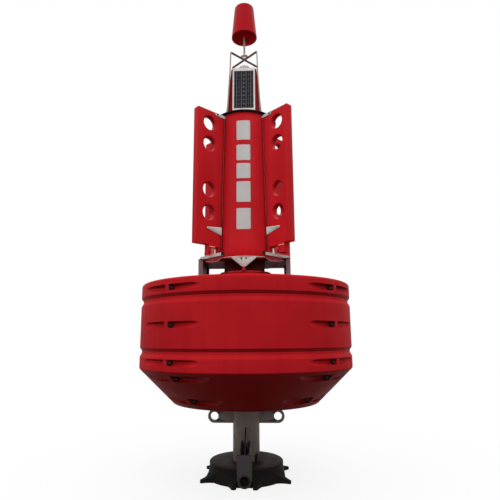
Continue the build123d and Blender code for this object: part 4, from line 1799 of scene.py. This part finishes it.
@dataclass
class Pylon:
    """Housing with its solar panels, lantern and topmark frame."""

    cell_columns: int = 4
    cell_rows: int = 9
    cell_gap: float = 0.0022
    cell_corner: float = 0.011
    cell_nick: float = 0.004
    cell_margin: float = 0.006
    ribbon_width: float = 0.005
    panel_width: float = 0.337
    panel_length: float = 0.762
    side_rail: float = 0.021
    end_rail: float = 0.052
    end_fill: float = 0.020
    end_rise: float = 0.0002
    lift: float = 0.062
    thickness: float = 0.032
    laminate: float = 0.0006
    backing: float = 0.006
    cell: float = 0.0005
    ribbon: float = 0.0004
    housing_top_half: float = 0.192
    cross_depth: float = 0.0085
    bar_reach: float = 0.2
    bar_half: float = 0.012
    lens_waist: float = 0.052
    lens_margin: float = 0.006
    rib_line: tuple[tuple[float, float], ...] = ((0.006, 0.0), (0.0015, 0.5), (0.006, 1.0))
    dome_rise: float = 0.010
    dome_inset: float = 0.002
    lens_ribs: int = 9
    lens_steps: int = 56
    dome_steps: int = 8
    lantern_bolt: HexBolt = HexBolt(flats=0.014, head=0.006, washer=0.010, washer_height=0.002)
    lantern_bolts: int = 6
    lantern_bolt_gap: float = 0.014
    flange_bolt: HexBolt = HexBolt(flats=0.016, head=0.007, washer=0.011, washer_height=0.002, stud=0.004)
    flange_bolt_place: tuple[float, float] = (0.043, 0.056)

    def _panel_place(self, face: float) -> Matrix:
        """Place at the middle of a panel's laminate.

        Args:
            face: -1 for the front, 1 for the back.

        Returns:
            A matrix with z pointing out of the panel and y up its slope.
        """
        low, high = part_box("pylon_housing")
        run = high.y - self.housing_top_half
        height = high.z - low.z
        slope = Vector((0.0, -face * run, height)).normalized()
        outward = Vector((0.0, face * height, run)).normalized()
        foot = Vector((0.0, face * high.y, low.z))
        middle = foot + slope * (self.lift + self.panel_length / 2)
        return facing(middle + outward * (self.thickness + self.laminate), outward, slope)

    def _cells(self, name: str, face: float) -> None:
        """Lay cells and ribbons into a panel's recess.

        Args:
            name: Name of the side.
            face: -1 for the front, 1 for the back.
        """
        place = self._panel_place(face)
        width = self.panel_width - 2 * self.side_rail
        length = self.panel_length - 2 * self.end_rail
        mesher = Mesher()
        seat = Matrix.Translation((0.0, 0.0, -self.backing))
        mesher.plate(width, length, self.backing + self.laminate, place @ seat)
        pitch_x = (width - 2 * self.cell_margin) / self.cell_columns
        pitch_y = (length - 2 * self.cell_margin) / self.cell_rows
        half_x = (pitch_x - self.cell_gap) / 2
        half_y = (pitch_y - self.cell_gap) / 2
        middle = self.cell_columns // 2
        for column in range(self.cell_columns):
            x = pitch_x * (column + 0.5 - self.cell_columns / 2)
            right = self.cell_corner if column == middle - 1 else self.cell_nick
            left = self.cell_corner if column == middle else self.cell_nick
            upper = [(half_x, half_y - right), (half_x - right, half_y)]
            upper += [(left - half_x, half_y), (-half_x, half_y - left)]
            outline = upper + [(across, -along) for across, along in reversed(upper)]
            mesher.slot = 1
            for row in range(self.cell_rows):
                y = pitch_y * (row + 0.5 - self.cell_rows / 2)
                mesher.prism(outline, self.cell, place @ Matrix.Translation((x, y, self.laminate)))
            mesher.slot = 2
            reach = length - 2 * self.cell_margin
            seat = Matrix.Translation((x, 0.0, self.laminate + self.cell))
            mesher.plate(self.ribbon_width, reach, self.ribbon, place @ seat)
        mesher.slot = 3
        for end in SIDES:
            seat = Matrix.Translation((0.0, end * (length + self.end_fill) / 2, -self.backing))
            mesher.plate(width, self.end_fill, self.backing + self.end_rise, place @ seat)
        finishes = (Finish.BACKING, Finish.CELL, Finish.RIBBON, Finish.RAIL)
        mesher.piece(f"solar_cells_{name}", "solar_module", *finishes)

    def _lantern(self) -> None:
        """Turn the lantern's ribbed lens, its dome and its base ring."""
        low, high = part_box("lantern_lens")
        radius = high.x
        foot = low.z
        top = high.z
        waist = top - self.lens_waist
        profile = [(0.0, foot), (radius, foot)]
        step = (waist - foot - 2 * self.lens_margin) / self.lens_ribs
        for rib in range(self.lens_ribs):
            base = foot + self.lens_margin + step * rib
            for inset, rise in self.rib_line:
                profile.append((radius - inset, base + step * rise))
        profile += [(radius - 0.004, waist), (0.0, waist)]
        mesher = Mesher()
        mesher.lathe(profile, self.lens_steps)
        lens = mesher.piece("lantern_lens_ribbed", "lantern_clear", Finish.LENS, smooth=50.0)
        mesher = Mesher()
        shoulder = waist + self.dome_rise
        dome = [(0.0, waist), (radius, waist), (radius, shoulder)]
        for k in range(1, self.dome_steps + 1):
            turn = math.radians(90 * k / self.dome_steps)
            reach = (radius - self.dome_inset) * math.cos(turn)
            dome.append((reach, shoulder + (top - shoulder) * math.sin(turn)))
        dome[-1] = (0.0, top)
        mesher.lathe(dome, self.lens_steps)
        mesher.piece("lantern_dome", "lantern_clear", Finish.LANTERN)
        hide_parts("lantern_lens")
        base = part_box("lantern_base")[1]
        mesher = Mesher()
        for k in range(self.lantern_bolts):
            angle = 360.0 * (k + 0.5) / self.lantern_bolts
            seat = around(angle, base.x - self.lantern_bolt_gap, base.z)
            self.lantern_bolt.add(mesher, upright(seat))
        mesher.piece("lantern_bolts", "lantern_grey", Finish.STUD, Finish.STUD)

    def _frame_bolts(self) -> None:
        """Bolt the pole's flange and the cross together."""
        reach, rise = self.flange_bolt_place
        mesher = Mesher()
        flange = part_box("topmark_frame")[1].z + rise
        for k in QUARTERS:
            self.flange_bolt.add(mesher, upright(around(90.0 * k, reach, flange)))
        mesher.piece("flange_bolts", "galvanised", Finish.BOLT, Finish.BOLT)

    def build(self) -> None:
        """Dress the solids and add cells, lantern and bolts."""
        dress_node("cover_disc", Finish.COVER, ease=0.003)
        dress_node("pylon_housing", Finish.PYLON, ease=0.008)
        frame_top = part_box("topmark_frame")[1].z

        def cross(centre: Vector, normal: Vector) -> int:
            """Pick the darker finish on the flat cross at the top."""
            off_bars = abs(abs(centre.x) - self.bar_reach) > self.bar_half
            return int(centre.z > frame_top - self.cross_depth and off_bars)

        dress_node("topmark_frame", Finish.ZINC_DULL, Finish.CROSS, ease=0.0015, pick=cross)
        dress_node("foot_bracket", Finish.ZINC, ease=0.001)
        dress_node("lantern_base", Finish.LANTERN, ease=0.004)
        for name, face in FACES:
            dress_node(f"solar_panel_{name}", Finish.RAIL, ease=0.0015)
            self._cells(name, face)
        self._lantern()
        self._frame_bolts()


@dataclass
class Topmark:
    """Can on its pole."""

    wall: float = 0.006
    shoulder: float = 0.030
    lip: tuple[float, float] = (0.0022, 0.024)
    top_radius: float = 0.152
    arc_steps: int = 7
    steps: int = 72
    side_share: float = 0.7
    flange_top: float = 6.170
    sleeve: tuple[float, float] = (0.0152, 0.0185)
    sleeve_gaps: tuple[float, float] = (0.018, 0.004)
    sleeve_steps: int = 24

    def _can(self) -> None:
        """Turn the can with a rounded shoulder and a rolled lip."""
        low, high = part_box("topmark_can")
        mouth = high.x
        corners = [
            (mouth - self.wall, low.z, 0.0),
            (mouth, low.z, 0.003),
            (mouth - self.lip[0], low.z + self.lip[1], 0.004),
            (self.top_radius, high.z, self.shoulder),
            (0.0, high.z, 0.0),
        ]
        outer = rounded(corners, self.arc_steps)
        inner_corners = [
            (0.0, high.z - self.wall, 0.0),
            (self.top_radius - self.wall, high.z - self.wall, self.shoulder - self.wall),
            (mouth - self.wall, low.z, 0.0),
        ]
        inner = rounded(inner_corners, self.arc_steps)
        mesher = Mesher()
        side = [point for point in outer if point[1] < high.z - self.shoulder * self.side_share]
        rim = outer[len(side) - 1 :]
        # Slot 1 is the inside, painted light; slot 2 is the shoulder's arc, painted shade.
        for slot, line in ((1, inner), (0, [inner[-1]] + side[1:]), (2, rim[:-1]), (0, rim[-2:])):
            mesher.slot = slot
            mesher.lathe(line, self.steps)
        finishes = (Finish.CAN, Finish.CAN_INSIDE, Finish.CAN_EDGE)
        can = mesher.piece("topmark_can_moulding", "can_red", *finishes, smooth=45.0)
        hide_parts("topmark_can")

    def _sleeve(self) -> None:
        """Line the pole inside the can with the can's plastic in its lighter inside finish, painted light.
        """
        low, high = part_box("topmark_can")
        inner, outer = self.sleeve
        foot = low.z + self.sleeve_gaps[0]
        top = high.z - self.wall - self.sleeve_gaps[1]
        mesher = Mesher()
        mesher.lathe([(inner, foot), (outer, foot), (outer, top), (inner, top)], self.sleeve_steps)
        mesher.piece("topmark_sleeve", "can_red", Finish.CAN_INSIDE)

    def build(self) -> None:
        """Build the can and dress the pole."""

        def pole_parts(centre: Vector, normal: Vector) -> int:
            """Pick the pale finish, painted light, on the flange at the foot."""
            return int(centre.z < self.flange_top)

        self._sleeve()
        self._can()
        dress_node("topmark_pole", Finish.ZINC_DULL, Finish.FLANGE, ease=0.0015, pick=pole_parts)


def main() -> None:
    """Build the camera, the studio and every sub-assembly in order."""
    logging.basicConfig(level=logging.INFO, format="%(name)s: %(message)s")
    Viewpoint().build()
    Studio().build()
    for assembly in (Float(), Tail(), Deck(), Daymark(), Pylon(), Topmark()):
        assembly.build()
        LOG.info("finished %s", type(assembly).__name__.lower())


if __name__ == "__main__":
    main()
